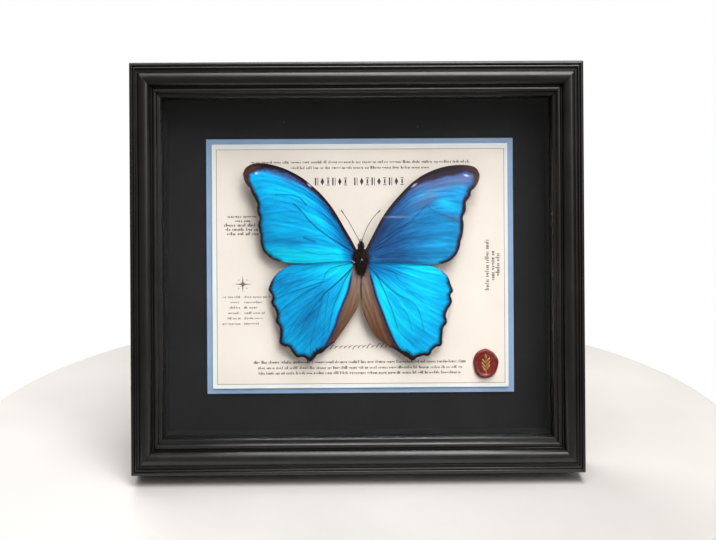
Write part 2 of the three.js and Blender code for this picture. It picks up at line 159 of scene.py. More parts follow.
def build(name, shape, looks, stands_for=(), body="root", place=FACE, angle=35, values=None):
    """Makes a piece from a shape. The values are numbers or vectors per point that a material reads."""
    mesh = bpy.data.meshes.new(name)
    matrix = np.array(place)
    points = np.asarray(shape.points, float) @ matrix[:3, :3].T + matrix[:3, 3]
    mesh.from_pydata(points.tolist(), [], shape.faces)
    for look in looks:
        mesh.materials.append(look)
    mesh.polygons.foreach_set("material_index", shape.marks)
    for key, numbers in (values or {}).items():
        numbers = np.asarray(numbers, np.float32)
        kind, field = ("FLOAT", "value") if numbers.ndim == 1 else ("FLOAT_VECTOR", "vector")
        mesh.attributes.new(key, kind, "POINT").data.foreach_set(field, numbers.ravel())
    face_outwards(mesh)
    smooth(mesh, angle)
    settle(name, mesh, stands_for, body)


def settle(name, mesh, stands_for, body):
    """Makes a mesh a piece, and says what it rides on and stands for."""
    piece = bpy.data.objects.new(name, mesh)
    scene.collection.objects.link(piece)
    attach(piece, body)
    if stands_for:
        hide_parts(*stands_for)


def softened(name, node, look, width, body="root"):
    """A copy of a CAD node with its hard edges rounded by a width in millimetres."""
    work = bmesh.new()
    work.from_mesh(frame["nodes"][node].data)
    bmesh.ops.remove_doubles(work, verts=work.verts, dist=1e-6)
    bmesh.ops.dissolve_limit(work, angle_limit=math.radians(1), verts=work.verts, edges=work.edges)
    hard = [e for e in work.edges if len(e.link_faces) == 2 and e.calc_face_angle() > math.radians(40)]
    bmesh.ops.bevel(
        work, geom=hard, offset=width * MM, segments=2, affect="EDGES", profile=0.5, clamp_overlap=True
    )
    bmesh.ops.recalc_face_normals(work, faces=work.faces)
    mesh = bpy.data.meshes.new(name)
    work.to_mesh(mesh)
    work.free()
    mesh.materials.append(look)
    smooth(mesh, 30)
    settle(name, mesh, [node], body)


def curve(points, count):
    """A smooth line through the points, as count points at equal steps."""
    p = np.asarray(points, float)
    p = np.vstack([2 * p[0] - p[1], p, 2 * p[-1] - p[-2]])
    t = np.linspace(0, 1, 16, endpoint=False)[:, None]  # shares of the way from one point to the next
    parts = []
    for a, b, c, d in zip(p[:-3], p[1:-2], p[2:-1], p[3:]):
        square, cube = 2 * a - 5 * b + 4 * c - d, 3 * b - a - 3 * c + d
        parts.append(0.5 * (2 * b + (c - a) * t + square * t**2 + cube * t**3))
    dense = np.vstack([*parts, p[-2:-1]])
    run = np.concatenate([[0], np.cumsum(np.linalg.norm(np.diff(dense, axis=0), axis=1))])
    at = np.linspace(0, run[-1], count)
    return np.stack([np.interp(at, run, dense[:, k]) for k in range(dense.shape[1])], 1)


def nearest(points, line):
    """Each point's distance to a line of points, and how far along the line that is, from 0 to 1."""
    a, b = line[:-1], line[1:]
    step = b - a
    long = np.maximum((step**2).sum(1), 1e-12)
    share = np.clip(((points[:, None] - a) * step).sum(2) / long, 0, 1)
    away = np.linalg.norm(points[:, None] - a - share[..., None] * step, axis=2)
    best = away.argmin(1)
    run = np.concatenate([[0], np.cumsum(np.sqrt(long))])
    rows = np.arange(len(points))
    return away[rows, best], (run[best] + share[rows, best] * np.sqrt(long)[best]) / run[-1]


def ease(x, low, high):
    """0 below low, 1 above high, smooth between."""
    t = np.clip((x - low) / (high - low), 0, 1)
    return t * t * (3 - 2 * t)


# ---- helpers: materials --------------------------------------------------------------------


def rgb(red, green, blue):
    """A colour given as screen values from 0 to 255."""
    linear = [c / 255 / 12.92 if c <= 10 else ((c / 255 + 0.055) / 1.055) ** 2.4 for c in (red, green, blue)]
    return (*linear, 1.0)


class Look:
    """A node material. Its coordinates are millimetres in the axes of the part it belongs to."""

    def __init__(self, name, place=FACE, **sockets):
        self.material = bpy.data.materials.new(name)
        self.material.use_nodes = True
        self.tree = self.material.node_tree
        self.shader = self.tree.nodes["Principled BSDF"]
        self.output = self.tree.nodes["Material Output"]
        self.set(**sockets)
        inside = place.inverted()
        self.where = self.node(
            "Mapping",
            {
                "Vector": self.node("TexCoord", out="Object"),
                "Location": inside.to_translation(),
                "Rotation": inside.to_euler(),
                "Scale": inside.to_scale(),
            },
        )

    def set(self, **sockets):
        for key, value in sockets.items():
            self.plug(self.shader.inputs[key.replace("_", " ")], value)

    def plug(self, socket, value):
        if isinstance(value, bpy.types.NodeSocket):
            self.tree.links.new(value, socket)
        else:
            socket.default_value = value

    def node(self, kind, inputs=None, out=0, **settings):
        made = self.tree.nodes.new("ShaderNode" + kind)
        for key, value in settings.items():
            setattr(made, key, value)
        for key, value in (inputs or {}).items():
            self.plug(made.inputs[key], value)
        return made.outputs[out]

    def noise(self, scale, detail=3.0, rough=0.55, stretch=None, vector=None, warp=0.0):
        vector = vector or self.where
        if stretch:
            vector = self.node("VectorMath", {0: vector, 1: stretch}, operation="MULTIPLY")
        return self.node(
            "TexNoise",
            {"Vector": vector, "Scale": scale, "Detail": detail, "Roughness": rough, "Distortion": warp},
        )

    def math(self, operation, a, b=0.0, clamp=False):
        return self.node("Math", {0: a, 1: b}, operation=operation, use_clamp=clamp)

    def add(self, a, b):
        return self.math("ADD", a, b)

    def times(self, a, b):
        return self.math("MULTIPLY", a, b)

    def blend(self, *parts):
        """The sum of (value, weight) pairs."""
        total = self.times(*parts[0])
        for part in parts[1:]:
            total = self.add(total, self.times(*part))
        return total

    def vary(self, base, source, amount):
        """Adds noise to a base, taken as swinging about a half."""
        return self.add(base, self.times(self.math("SUBTRACT", source, 0.5), amount))

    def span(self, value, low, high, start=0.0, end=1.0):
        """Takes low..high to start..end, smoothly and held at the ends."""
        return self.node(
            "MapRange",
            {"Value": value, "From Min": low, "From Max": high, "To Min": start, "To Max": end},
            interpolation_type="SMOOTHSTEP",
        )

    def ramp(self, factor, *stops):
        """Colours along a factor, from stops of (place, red, green, blue)."""
        made = self.tree.nodes.new("ShaderNodeValToRGB")
        bar = made.color_ramp.elements
        while len(bar) < len(stops):
            bar.new(0.5)
        for element, (place, *colour) in zip(bar, stops):
            element.position, element.color = place, rgb(*colour)
        self.plug(made.inputs[0], factor)
        return made.outputs[0]

    def mix(self, factor, a, b):
        """From a to b, each a socket or a colour as screen values."""
        made = self.tree.nodes.new("ShaderNodeMix")
        made.data_type, made.clamp_factor = "RGBA", True
        for index, value in ((0, factor), (6, a), (7, b)):
            self.plug(made.inputs[index], rgb(*value) if isinstance(value, tuple) else value)
        return made.outputs[2]

    def value(self, name, out="Fac"):
        return self.node("Attribute", out=out, attribute_name=name)

    def axis(self, number, vector=None):
        return self.node("SeparateXYZ", {0: vector or self.where}, out=number)

    def bump(self, height, millimetres, strength):
        return self.node("Bump", {"Height": height, "Distance": millimetres * MM, "Strength": strength})


def lacquer():
    """Satin black paint with a fine orange peel. The rear face is bare dark wood with its grain."""
    look = Look("black lacquer", Specular_IOR_Level=0.65)
    peel, cloud, speck = look.noise(1.6, 2, 0.5), look.noise(0.05, 4, 0.6), look.noise(5.5, 1, 0.5)
    mottle = look.blend((cloud, 0.7), (speck, 0.3))
    tint = look.ramp(mottle, (0.3, 14, 13, 12), (0.55, 21, 19, 18), (0.75, 31, 28, 26))
    rear = look.span(look.axis(1), REAR - 0.5, REAR - 0.1)
    grain = look.noise(0.9, 4, 0.65, stretch=(0.25, 1, 1))
    bare = look.ramp(grain, (0.35, 30, 26, 22), (0.7, 52, 44, 36))
    look.set(
        Base_Color=look.mix(rear, tint, bare),
        Roughness=look.add(look.span(cloud, 0.3, 0.7, 0.3, 0.38), look.times(rear, 0.3)),
        Normal=look.bump(look.blend((peel, 0.6), (speck, 0.5)), 0.02, 0.11),
    )
    return look.material


def glass():
    """Clear, low-shine picture glass. Shadow rays pass straight through, so lamps light what is behind it."""
    look = Look("clear glass", Roughness=0.0, IOR=1.3)
    look.set(Base_Color=(0.985, 1.0, 0.99, 1.0), Transmission_Weight=1.0)
    passing = look.node("BsdfTransparent", {"Color": (0.97, 0.98, 0.975, 1.0)})
    shadow = look.node("LightPath", out="Is Shadow Ray")
    mixed = look.node("MixShader", {0: shadow, 1: look.shader.outputs[0], 2: passing})
    look.tree.links.new(mixed, look.output.inputs["Surface"])
    return look.material


def paper(name, dark, mid, light, fibre, specks=0.0, roughness=0.85):
    """Uncoated card: fibres, a soft cloudiness and, where asked, dust. Returns the look and its colour."""
    look = Look(name, Specular_IOR_Level=0.25, Roughness=roughness)
    cloud = look.noise(0.035, 3, 0.5)
    strands = look.noise(1.8, 5, 0.7, stretch=(1.0, 1.0, 0.6), warp=0.4)
    tone = look.blend((cloud, 0.6), (strands, 0.4))
    colour = look.ramp(tone, (0.32, *dark), (0.5, *mid), (0.7, *light))
    if specks:
        cell = look.node("TexVoronoi", {"Vector": look.where, "Scale": 0.16}, out="Distance")
        size = look.noise(0.11, 2, 0.5)
        dust = look.math("LESS_THAN", cell, look.span(size, 0.45, 0.7, 0.0, 0.045))
        colour = look.mix(look.times(dust, specks), colour, (150, 150, 150))
    look.set(Base_Color=colour, Normal=look.bump(strands, 0.03, fibre))
    return look, colour


def cream():
    """The printed card: warm cream with a paler margin outside the ruled line."""
    look, inner = paper("cream card", (224, 211, 202), (228, 216, 207), (232, 221, 213), 0.3)
    middle, halves = (1.9, 0.0, -0.65), ((0, 81.9), (2, 66.6))  # the area inside the line
    within = look.node("VectorMath", {0: look.where, 1: middle}, operation="SUBTRACT")
    within = look.node("VectorMath", {0: within}, operation="ABSOLUTE")
    past = [look.math("SUBTRACT", look.axis(k, within), half) for k, half in halves]
    margin = look.math("GREATER_THAN", look.math("MAXIMUM", *past), 0.0)
    look.set(Base_Color=look.mix(margin, inner, (221, 222, 221)))
    return look.material


def hardboard(name, place):
    """Brown pressed board, mottled, with short fibres and pale flecks."""
    look = Look(name, place, Specular_IOR_Level=0.3)
    mottle = look.noise(0.03, 3, 0.5)
    fibre = look.noise(0.9, 6, 0.75, stretch=(1.0, 1.0, 0.4), warp=0.8)
    fleck = look.noise(2.6, 3, 0.6)
    tone = look.blend((mottle, 0.15), (fibre, 0.5), (fleck, 0.35))
    look.set(
        Base_Color=look.ramp(
            tone, (0.34, 54, 39, 29), (0.46, 92, 69, 51), (0.56, 116, 89, 66), (0.68, 152, 122, 92)
        ),
        Roughness=look.span(fibre, 0.3, 0.7, 0.55, 0.8),
        Normal=look.bump(look.add(fibre, look.times(fleck, 0.4)), 0.06, 0.5),
    )
    return look.material


def metal(name, place, dark, light, roughness, brushed=(1, 1, 1), tarnish=None):
    """Sheet or turned metal: brushing, handling marks and a little tarnish in the dull patches."""
    look = Look(name, place, Metallic=1.0)
    brush = look.noise(2.4, 3, 0.6, stretch=brushed)
    cloud = look.noise(0.22, 4, 0.6)
    tint = look.ramp(cloud, (0.3, *dark), (0.65, *light))
    if tarnish:
        tint = look.mix(look.span(look.noise(0.35, 5, 0.7), 0.58, 0.74, 0.0, 0.75), tint, tarnish)
    dull = look.span(cloud, 0.3, 0.7, roughness - 0.07, roughness + 0.08)
    look.set(
        Base_Color=tint,
        Roughness=look.add(dull, look.times(brush, 0.1)),
        Normal=look.bump(brush, 0.02, 0.35),
    )
    return look.material


def steel(name, place):
    return metal(name, place, (128, 130, 134), (188, 190, 194), 0.32)


def brass(name, place):
    return metal(name, place, (150, 118, 62), (196, 160, 92), 0.36, (0.2, 1, 1), (84, 62, 36))


def wax():
    """Sealing wax: deep red, a little cloudy, with an uneven shine."""
    look = Look(
        "red wax", Subsurface_Weight=0.1, Subsurface_Radius=(0.6, 0.12, 0.08), Subsurface_Scale=0.001,
        Coat_Weight=0.08, Coat_Roughness=0.3, Specular_IOR_Level=0.35,
    )
    cloud, ripple = look.noise(0.35, 4, 0.6), look.noise(1.1, 3, 0.5)
    look.set(
        Base_Color=look.ramp(cloud, (0.3, 88, 12, 12), (0.5, 110, 20, 17), (0.7, 132, 32, 25)),
        Roughness=look.span(ripple, 0.3, 0.7, 0.3, 0.48),
        Normal=look.bump(ripple, 0.12, 0.4),
    )
    return look.material


def ink(name, dark, light):
    """Printed ink, a little uneven where the card took less of it."""
    look = Look(name, Specular_IOR_Level=0.3, Roughness=0.6)
    look.set(Base_Color=look.ramp(look.noise(1.4, 3, 0.6), (0.35, *dark), (0.7, *light)))
    return look.material


def gilding():
    """Gold paint rubbed over raised wax."""
    look = Look("gold paint", Metallic=0.75)
    wear = look.noise(2.2, 4, 0.6)
    look.set(
        Base_Color=look.ramp(wear, (0.32, 120, 74, 40), (0.48, 196, 150, 84), (0.7, 232, 198, 132)),
        Roughness=look.span(wear, 0.3, 0.7, 0.3, 0.5),
        Normal=look.bump(wear, 0.05, 0.4),
    )
    return look.material


def wing_scales():
    """Butterfly wing: silky blue scales in rays, dark veins, a brown-black border, brown inner folds."""
    look = Look("blue wing scales")
    ray = look.value("ray", "Vector")
    streak = look.noise(1.4, 5, 0.68, vector=ray, warp=0.3)
    broad, fine, grains = look.noise(0.11, 3, 0.5), look.noise(2.6, 2, 0.6), look.noise(1.5, 3, 0.7)
    thread = look.noise(4.2, 3, 0.7, vector=ray, stretch=(0.7, 1.0, 1.0))
    brown = look.value("brown")
    clear = look.math("SUBTRACT", 1.0, brown)

    tone = look.value("tone")
    for source, amount in ((streak, look.value("rays")), (thread, 0.4), (broad, 0.14), (fine, 0.12)):
        tone = look.vary(tone, source, amount)
    blue = look.ramp(
        tone, (0.0, 4, 38, 84), (0.2, 4, 80, 140), (0.4, 2, 118, 180), (0.6, 4, 148, 212),
        (0.8, 0, 184, 244), (1.0, 6, 221, 255),
    )
    haze = look.times(look.value("violet"), look.span(streak, 0.35, 0.65, 0.7, 1.15))
    blue = look.mix(haze, blue, (98, 110, 156))
    blue = look.mix(look.math("MULTIPLY", look.value("vein"), 1.05, clamp=True), blue, (2, 36, 86))

    folds = look.ramp(
        look.blend((streak, 0.75), (fine, 0.25)),
        (0.3, 74, 50, 34), (0.46, 106, 76, 56), (0.6, 130, 98, 76), (0.76, 158, 128, 108),
    )
    folds = look.mix(look.span(look.axis(2), -26, -4, 0.0, 0.55), folds, (158, 132, 126))
    rust = look.mix(look.value("rust"), folds, (88, 38, 24))
    colour = look.mix(brown, blue, rust)

    rim = look.vary(look.value("rim"), look.noise(0.7, 4, 0.65), 1.6)
    rim = look.vary(rim, streak, look.add(1.2, look.value("apex")))
    colour = look.mix(look.times(look.span(rim, -2.4, -0.3, 0.0, 0.7), clear), colour, (12, 50, 100))
    plum = look.vary(look.vary(look.value("plum"), streak, 0.9), grains, 0.8)
    on_right = look.span(look.axis(0), 2.0, 20.0)
    colour = look.mix(look.span(plum, 0.1, 0.5, 0.0, 0.85), colour, (60, 88, 150))
    colour = look.mix(look.span(plum, 0.4, 0.8), colour, look.mix(on_right, (46, 38, 62), (46, 26, 36)))
    colour = look.mix(look.times(look.span(rim, -0.8, 0.0, 0.0, 0.85), clear), colour, (30, 22, 44))
    border = look.mix(
        look.value("apex"),
        look.ramp(fine, (0.3, 12, 8, 10), (0.7, 36, 20, 18)),
        look.ramp(streak, (0.35, 52, 28, 18), (0.7, 92, 60, 42)),
    )
    dark = look.span(rim, -0.45, 0.25)
    colour = look.mix(dark, colour, border)
    colour = look.mix(look.span(look.value("spot"), -0.35, 0.5), colour, (208, 212, 240))

    matt = look.math("MAXIMUM", dark, brown)
    barb = look.noise(1.0, 2, 0.5, vector=ray, stretch=(0.6, 3.0, 1.0))
    look.set(
        Base_Color=colour,
        Metallic=look.times(look.math("SUBTRACT", 1.0, matt), 0.45),
        Roughness=look.add(0.5, look.times(matt, 0.2)),
        Specular_IOR_Level=0.05,
        Normal=look.bump(look.blend((barb, 0.7), (fine, 0.3)), 0.08, 0.4),
    )
    return look.material


def fur(name, dark, light):
    """Hair and chitin of the insect's body."""
    look = Look(name, Specular_IOR_Level=0.08)
    tone = look.noise(1.7, 3, 0.6)
    look.set(
        Base_Color=look.ramp(tone, (0.35, *dark), (0.7, *light)),
        Roughness=look.span(tone, 0.3, 0.7, 0.5, 0.75),
        Normal=look.bump(look.noise(3.5, 3, 0.6), 0.06, 0.5),
    )
    return look.material


def hair():
    """Black hair with brown flecks."""
    look = Look("fur strands", Roughness=0.6, Specular_IOR_Level=0.06)
    tone = look.noise(0.9, 4, 0.7)
    look.set(Base_Color=look.ramp(tone, (0.47, 2, 2, 2), (0.57, 28, 18, 11), (0.66, 140, 98, 62)))
    return look.material


def eye():
    """Faceted black eyes."""
    look = Look("insect eye", Specular_IOR_Level=0.6)
    cell = look.node("TexVoronoi", {"Vector": look.where, "Scale": 6.0}, out="Distance")
    look.set(
        Base_Color=look.ramp(cell, (0.2, 22, 14, 12), (0.7, 8, 6, 6)),
        Roughness=look.span(cell, 0.1, 0.7, 0.22, 0.4),
        Normal=look.bump(cell, -0.03, 0.4),
    )
    return look.material


def fringe_scales():
    """Dark scales, pale where the mesh's value violet is high."""
    look = Look("wing fringe", Roughness=0.7, Specular_IOR_Level=0.2)
    tone = look.add(look.value("violet"), look.times(look.noise(1.5, 2), 0.2))
    look.set(Base_Color=look.ramp(tone, (0.35, 24, 16, 20), (0.8, 214, 206, 206)))
    return look.material


def tabletop():
    """The pale table that the object stands on."""
    look = Look("pale tabletop", Matrix.Scale(MM, 4), Specular_IOR_Level=0.35)
    cloud = look.noise(0.006, 4, 0.55)
    look.set(
        Base_Color=look.ramp(cloud, (0.3, 214, 209, 205), (0.7, 224, 220, 216)),
        Roughness=look.span(cloud, 0.3, 0.7, 0.38, 0.5),
    )
    return look.material


BLACK = lacquer()
BOARD, STRUT_BOARD = hardboard("brown board", FACE), hardboard("brown strut board", STRUT)
STEEL, STRUT_STEEL = steel("steel", FACE), steel("strut steel", STRUT)
BRASS, STRUT_BRASS = brass("brass plate", FACE), brass("strut brass plate", STRUT)
WING, FRINGE = wing_scales(), fringe_scales()
FUR, HAIR, EYE = fur("black fur", (2, 2, 2), (10, 8, 7)), hair(), eye()
TUFT = fur("pale tuft", (196, 176, 196), (240, 228, 238))
FEELER = fur("brown antenna", (40, 28, 22), (70, 52, 42))

# ---- moulding ------------------------------------------------------------------------------


def arc(x, y, wide, high, start, end, steps):
    """Points of an ellipse in the section, angles from the inner side towards the front."""
    turn = np.radians(np.linspace(start, end, steps + 1))
    return [(x + wide * math.cos(a), y - high * math.sin(a)) for a in turn]


def section():
    """The side rail's outline, as (distance in from the outer face, depth)."""
    return np.array(
        [
            *((0.0, REAR - 0.4), (0.0, 20.0), (0.0, 6.0)),
            *arc(1.3, 2.45, 1.3, 1.1, 180, 90, 8),
            *arc(1.3, 2.0, 0.55, 0.65, 90, 0, 5)[1:],
            *arc(2.75, 2.3, 0.8, 0.95, 180, 90, 7),
            *arc(2.75, 2.2, 0.45, 0.85, 90, 0, 5)[1:],
            *((3.35, 2.6), (4.1, 2.75)),
            *arc(7.5, 4.0, 3.3, 4.0, 161, 90, 18),
            *arc(7.5, 2.9, 3.9, 2.9, 90, 12, 20)[1:],
            *((11.5, 3.4), (11.6, 4.7), (12.1, 4.8)),
            *arc(13.5, 4.8, 1.4, 1.6, 180, 0, 16),
            *((15.0, 5.3), (16.3, 5.6)),
            *arc(16.3, 10.2, 1.1, 4.6, 90, 0, 12),
            *((17.4, 11.4), (13.4, 11.4), (13.4, 33.3), (7.8, 33.3), (7.8, REAR), (0.4, REAR)),
        ]
    )


def shrunk(outline, amount):
    """The closed outline moved inwards."""
    before, after = np.roll(outline, 1, 0), np.roll(outline, -1, 0)
    along = after - before
    along /= np.linalg.norm(along, axis=1)[:, None]
    normal = np.stack([along[:, 1], -along[:, 0]], 1)
    area = (outline[:, 0] * after[:, 1] - after[:, 0] * outline[:, 1]).sum()
    return outline - np.sign(area) * normal * amount


def rail(side):
    """One length of moulding, from mitre to mitre. The mitres show because its ends are chamfered."""
    full = section()
    tight = shrunk(full, 0.11)
    level = side in ("top", "bottom")
    sign = 1 if side in ("top", "right") else -1
    joint = 0.02  # each rail's share of the hair line between two rails
    steps = [(0, tight, 0.0), (0, full, 0.22), (0.25, full, 0), (0.5, full, 0), (0.75, full, 0)]
    steps += [(1, full, -0.22), (1, tight, 0.0)]
    rings = []
    for share, outline, inward in steps:
        ring = []
        for inset, y in outline:
            x, z = FRAME_WIDTH / 2 - inset, FRAME_HEIGHT / 2 - inset * CROSS_SHARE
            half = (x if level else z) - joint
            run = -half + share * 2 * half + inward
            ring.append((run, y, sign * z) if level else (sign * x, y, run))
        rings.append(ring)
    build(f"moulding_{side}", Shape().rings(rings), [BLACK], [f"rail_{side}"], angle=28)


for side in ("top", "bottom", "left", "right"):
    rail(side)

# ---- glass, inner walls, boards and cards --------------------------------------------------


def finish_node(node, look):
    """Gives a CAD node that stays visible its material."""
    mesh = frame["nodes"][node].data
    mesh.materials.clear()
    mesh.materials.append(look)


finish_node("glass_pane", glass())
backing, _ = paper("black paper", (16, 16, 19), (21, 21, 24), (28, 28, 31), 0.25, specks=0.7)
finish_node("backing_board", backing.material)
# The spacers inside the box take a darker copy of the black backing paper: painted shade of the recess.
shaded_wall_paper, _ = paper("black wall paper in painted shade", (6, 6, 8), (9, 9, 11), (13, 13, 15), 0.25, roughness=0.9)
for side in ("top", "bottom", "left", "right"):
    finish_node(f"spacer_{side}", shaded_wall_paper.material)
blue, _ = paper("blue card", (127, 150, 183), (136, 158, 190), (147, 167, 196), 0.4)
finish_node("blue_card", blue.material)
finish_node("label_card", cream())

# ---- printed marks -------------------------------------------------------------------------
# Rows of plain strokes stand where small print would be. None of them is a letter.

INK_BACK, INK_FRONT = CARD_FRONT + 0.01, CARD_FRONT - 0.04  # from a hair inside the card to just above it
BROWN_INK = ink("brown ink", (88, 78, 70), (124, 112, 102))


def bar(shape, x0, x1, z0, z1):
    shape.box(x0, x1, INK_FRONT, INK_BACK, z0, z1)


def lozenge(shape, x, z, wide, high):
    shape.prism([(x - wide, z), (x, z - high), (x + wide, z), (x, z + high)], INK_FRONT, INK_BACK)


def stroke_row(shape, start, end, level, tall, seed, weight, dashes, pitch=0.82, upright=False):
    """One row of strokes of uneven height, some of them dashes at half height, broken into groups."""
    draw = np.random.default_rng(seed)
    at, left = start, draw.integers(3, 9)
    while at < end:
        high = tall * draw.choice([0.55, 0.6, 0.66, 0.95], p=[0.4, 0.25, 0.15, 0.2])
        wide = weight * draw.uniform(0.8, 1.35)
        along, across = (at, min(at + wide, end + 0.1)), (level, level + high)
        if draw.random() < dashes:
            along, across = (at, at + wide * 2.1), (level + tall * 0.22, level + tall * 0.5)
        if upright:
            along, across = (-across[1], -across[0]), along
        bar(shape, *along, *across)
        at += pitch * draw.uniform(0.75, 1.1)
        left -= 1
        if left == 0:
            at += pitch * 0.9
            left = draw.integers(3, 9)


def pen_line(shape, points, widths):
    """A flat stroke of changing width along a line of (x, z) points."""
    ahead = np.gradient(points, axis=0)
    ahead /= np.maximum(np.linalg.norm(ahead, axis=1), 1e-9)[:, None]
    side = np.stack([-ahead[:, 1], ahead[:, 0]], 1) * widths[:, None] / 2
    rings = []
    for (x, z), (a, b) in zip(points, side):
        front = [(x - a, INK_FRONT, z - b), (x + a, INK_FRONT, z + b)]
        rings.append([*front, (x + a, INK_BACK, z + b), (x - a, INK_BACK, z - b)])
    shape.rings(rings)


small = Shape()
stroke_row(small, -60.4, 64.4, 58.2, 1.7, 11, 0.48, 0.22)
stroke_row(small, -37.6, 40.9, 55.0, 1.6, 12, 0.48, 0.22)
block = ((-73.7, -57.5), (-69.5, -61.0), (-75.8, -56.1), (-75.0, -56.6), (-74.0, -56.0))
for row, (start, end) in enumerate(block):
    stroke_row(small, start, end, 27.3 - 2.45 * row, 2.0, 20 + row, 0.6, 0.12, 1.05)
listed = (  # where a short row starts and ends, and where the row beside it ends
    (-76.8, -66.7, -50.1), (-72.2, -66.9, -55.5), (-72.8, -66.6, -58.0),
    (-73.6, -66.9, -53.0), (-74.0, -66.7, -54.5), (-77.0, -66.8, -56.5),
)
for row, (start, end, far_end) in enumerate(listed):
    level = -18.2 - 3.05 * row
    stroke_row(small, start, end, level, 1.35, 30 + row, 0.46, 0.24, 0.8)
    stroke_row(small, -64.6, far_end, level, 1.35, 40 + row, 0.46, 0.24, 0.8)
for column, (x, low, high) in enumerate(((74.0, -14.7, 14.0), (77.2, -9.0, 7.7), (80.1, -6.7, 6.5))):
    stroke_row(small, low, high, -x - 1.1, 2.5, 50 + column, 0.55, 0.06, 1.05, upright=True)
foot = ((-59.4, 61.4, -55.8, 1.8), (-56.8, 59.4, -59.0, 1.7), (-56.5, 58.5, -62.0, 1.7))
for row, place in enumerate(foot):
    stroke_row(small, *place, 61 + row, 0.5, 0.26)
build("small_print_marks", small, [ink("grey ink", (92, 82, 78), (138, 126, 120))])

heading = Shape()
at = -23.9
for index in range(15):  # bars, lozenges and capped bars in turn
    if index == 6:
        at += 2.6
    if index % 3 == 0:
        bar(heading, at, at + 0.75, 45.6, 50.0)
        bar(heading, at + 1.5, at + 1.85, 45.6, 50.0)
    elif index % 3 == 1:
        lozenge(heading, at + 1.0, 47.8, 1.0, 2.2)
    else:
        bar(heading, at + 0.55, at + 1.35, 46.5, 49.1)
        bar(heading, at + 0.1, at + 1.8, 49.55, 50.0)
        bar(heading, at + 0.1, at + 1.8, 45.6, 46.05)
    at += 3.3
build("heading_marks", heading, [ink("black ink", (34, 32, 34), (58, 54, 54))])

script = Shape()  # slanted loops in a run, a few of them tall
t = np.linspace(0, 1, 560)
swing = 2 * np.pi * 15 * t
peaks = (0.05, 0.36, 0.585, 0.72, 0.79, 0.93)
tall = 0.95 + 2.0 * sum(np.exp(-(((t - peak) / 0.012) ** 2)) for peak in peaks)
z = tall * np.cos(swing) * np.where(np.cos(swing) > 0, 1.0, 0.62)
x = -16.5 + 39.0 * t + 0.62 * np.sin(swing) + 0.5 * z
pen_line(script, np.stack([x, z - 46.9 + 0.5 * t], 1), 0.15 + 0.36 * ease(-np.sin(swing), 0.1, 0.9))
build("pen_flourish", script, [BROWN_INK])

star = Shape()
middle = (-65.3, -10.4)
for quarter in range(4):  # four long points, four short ones and a dot beyond each short one
    a = quarter * math.pi / 2
    for turn, reach, wide in ((a, 5.0, 0.5), (a + math.pi / 4, 2.2, 0.3)):
        c, s = math.cos(turn), math.sin(turn)
        tip, back = (reach * c, reach * s), (-wide * c, -wide * s)
        corners = (tip, (-wide * s, wide * c), back, (wide * s, -wide * c))
        star.prism([(middle[0] + p, middle[1] + q) for p, q in corners], INK_FRONT, INK_BACK)
    lozenge(star, middle[0] + 3.3 * c, middle[1] + 3.3 * s, 0.4, 0.4)
build("star_ornament", star, [BROWN_INK])

rule = Shape()
corners = [(-80.0, 66.2), (84.0, 66.2), (84.0, -67.4), (-80.0, -67.4)]
half = 0.17  # half the width of the rule
for (x0, z0), (x1, z1) in zip(corners, corners[1:] + corners[:1]):
    bar(rule, min(x0, x1) - half, max(x0, x1) + half, min(z0, z1) - half, max(z0, z1) + half)
build("ruled_border", rule, [ink("rule ink", (142, 116, 98), (172, 148, 130))])

# ---- wax seal ------------------------------------------------------------------------------

SEAL = (72.9, -56.5)
SEAL_HALF = (7.4, 8.6)
SEAL_BACK = 28.45
DISH = SEAL_BACK - 1.68  # the depth of the seal's dished face, where the sprig lies


def hump(share, middle, wide):
    return math.exp(-(((share - middle) / wide) ** 2))


def seal_surface(share, turn):
    """Height of the wax above its back, for a share of the radius and an angle."""
    rim = hump(share, 0.84, 0.1) * (0.42 + 0.1 * math.sin(3 * turn + 0.7) + 0.06 * math.sin(7 * turn))
    dish = 1.45 + 0.05 * math.cos(2 * turn + 1) * share
    groove = -0.12 * hump(share, 0.66, 0.035)
    fall = max(0.0, (share - 0.9) / 0.1)
    return (dish + rim + groove) * math.sqrt(max(0.0, 1 - fall**2)) + 0.25


rings = []
for share in [1.0, *np.linspace(1.0, 0.02, 40)]:  # the back first, then the face from the rim inwards
    ring = []
    for a in [2 * math.pi * i / 112 for i in range(112)]:
        uneven = 1 + 0.022 * math.sin(3 * a + 1.2) + 0.016 * math.sin(5 * a + 0.4) + 0.008 * math.sin(9 * a)
        if share <= 0.5:  # rounder towards the middle
            uneven = 1 + (uneven - 1) * share * 2
        reach = share * (0.972 * uneven)
        y = SEAL_BACK - (seal_surface(share, a) if rings else 0)
        x, z = SEAL_HALF[0] * reach * math.cos(a), SEAL_HALF[1] * reach * math.sin(a)
        ring.append((SEAL[0] + x, y, SEAL[1] + z))
    rings.append(ring)
build("wax_seal_cast", Shape().rings(rings), [wax()], ["wax_seal"], angle=60)


def leaf(shape, x, z, turn, long, wide, high):
    """A small raised leaf: pointed at both ends, ridged down its middle."""
    rings = []
    for share in np.linspace(0, 1, 11):
        swell = math.sin(math.pi * share)
        half = wide * swell**0.8 + 0.02
        along = share * long
        ring = []
        for a in np.linspace(0, 2 * np.pi, 10, endpoint=False):
            across, up = half * math.cos(a), max(0.0, math.sin(a)) * high * (0.3 + swell)
            px = x + along * math.cos(turn) - across * math.sin(turn)
            pz = z + along * math.sin(turn) + across * math.cos(turn)
            ring.append((px, DISH + 0.03 - up + (0.12 if math.sin(a) < -0.1 else 0.0), pz))
        rings.append(ring)
    shape.rings(rings)


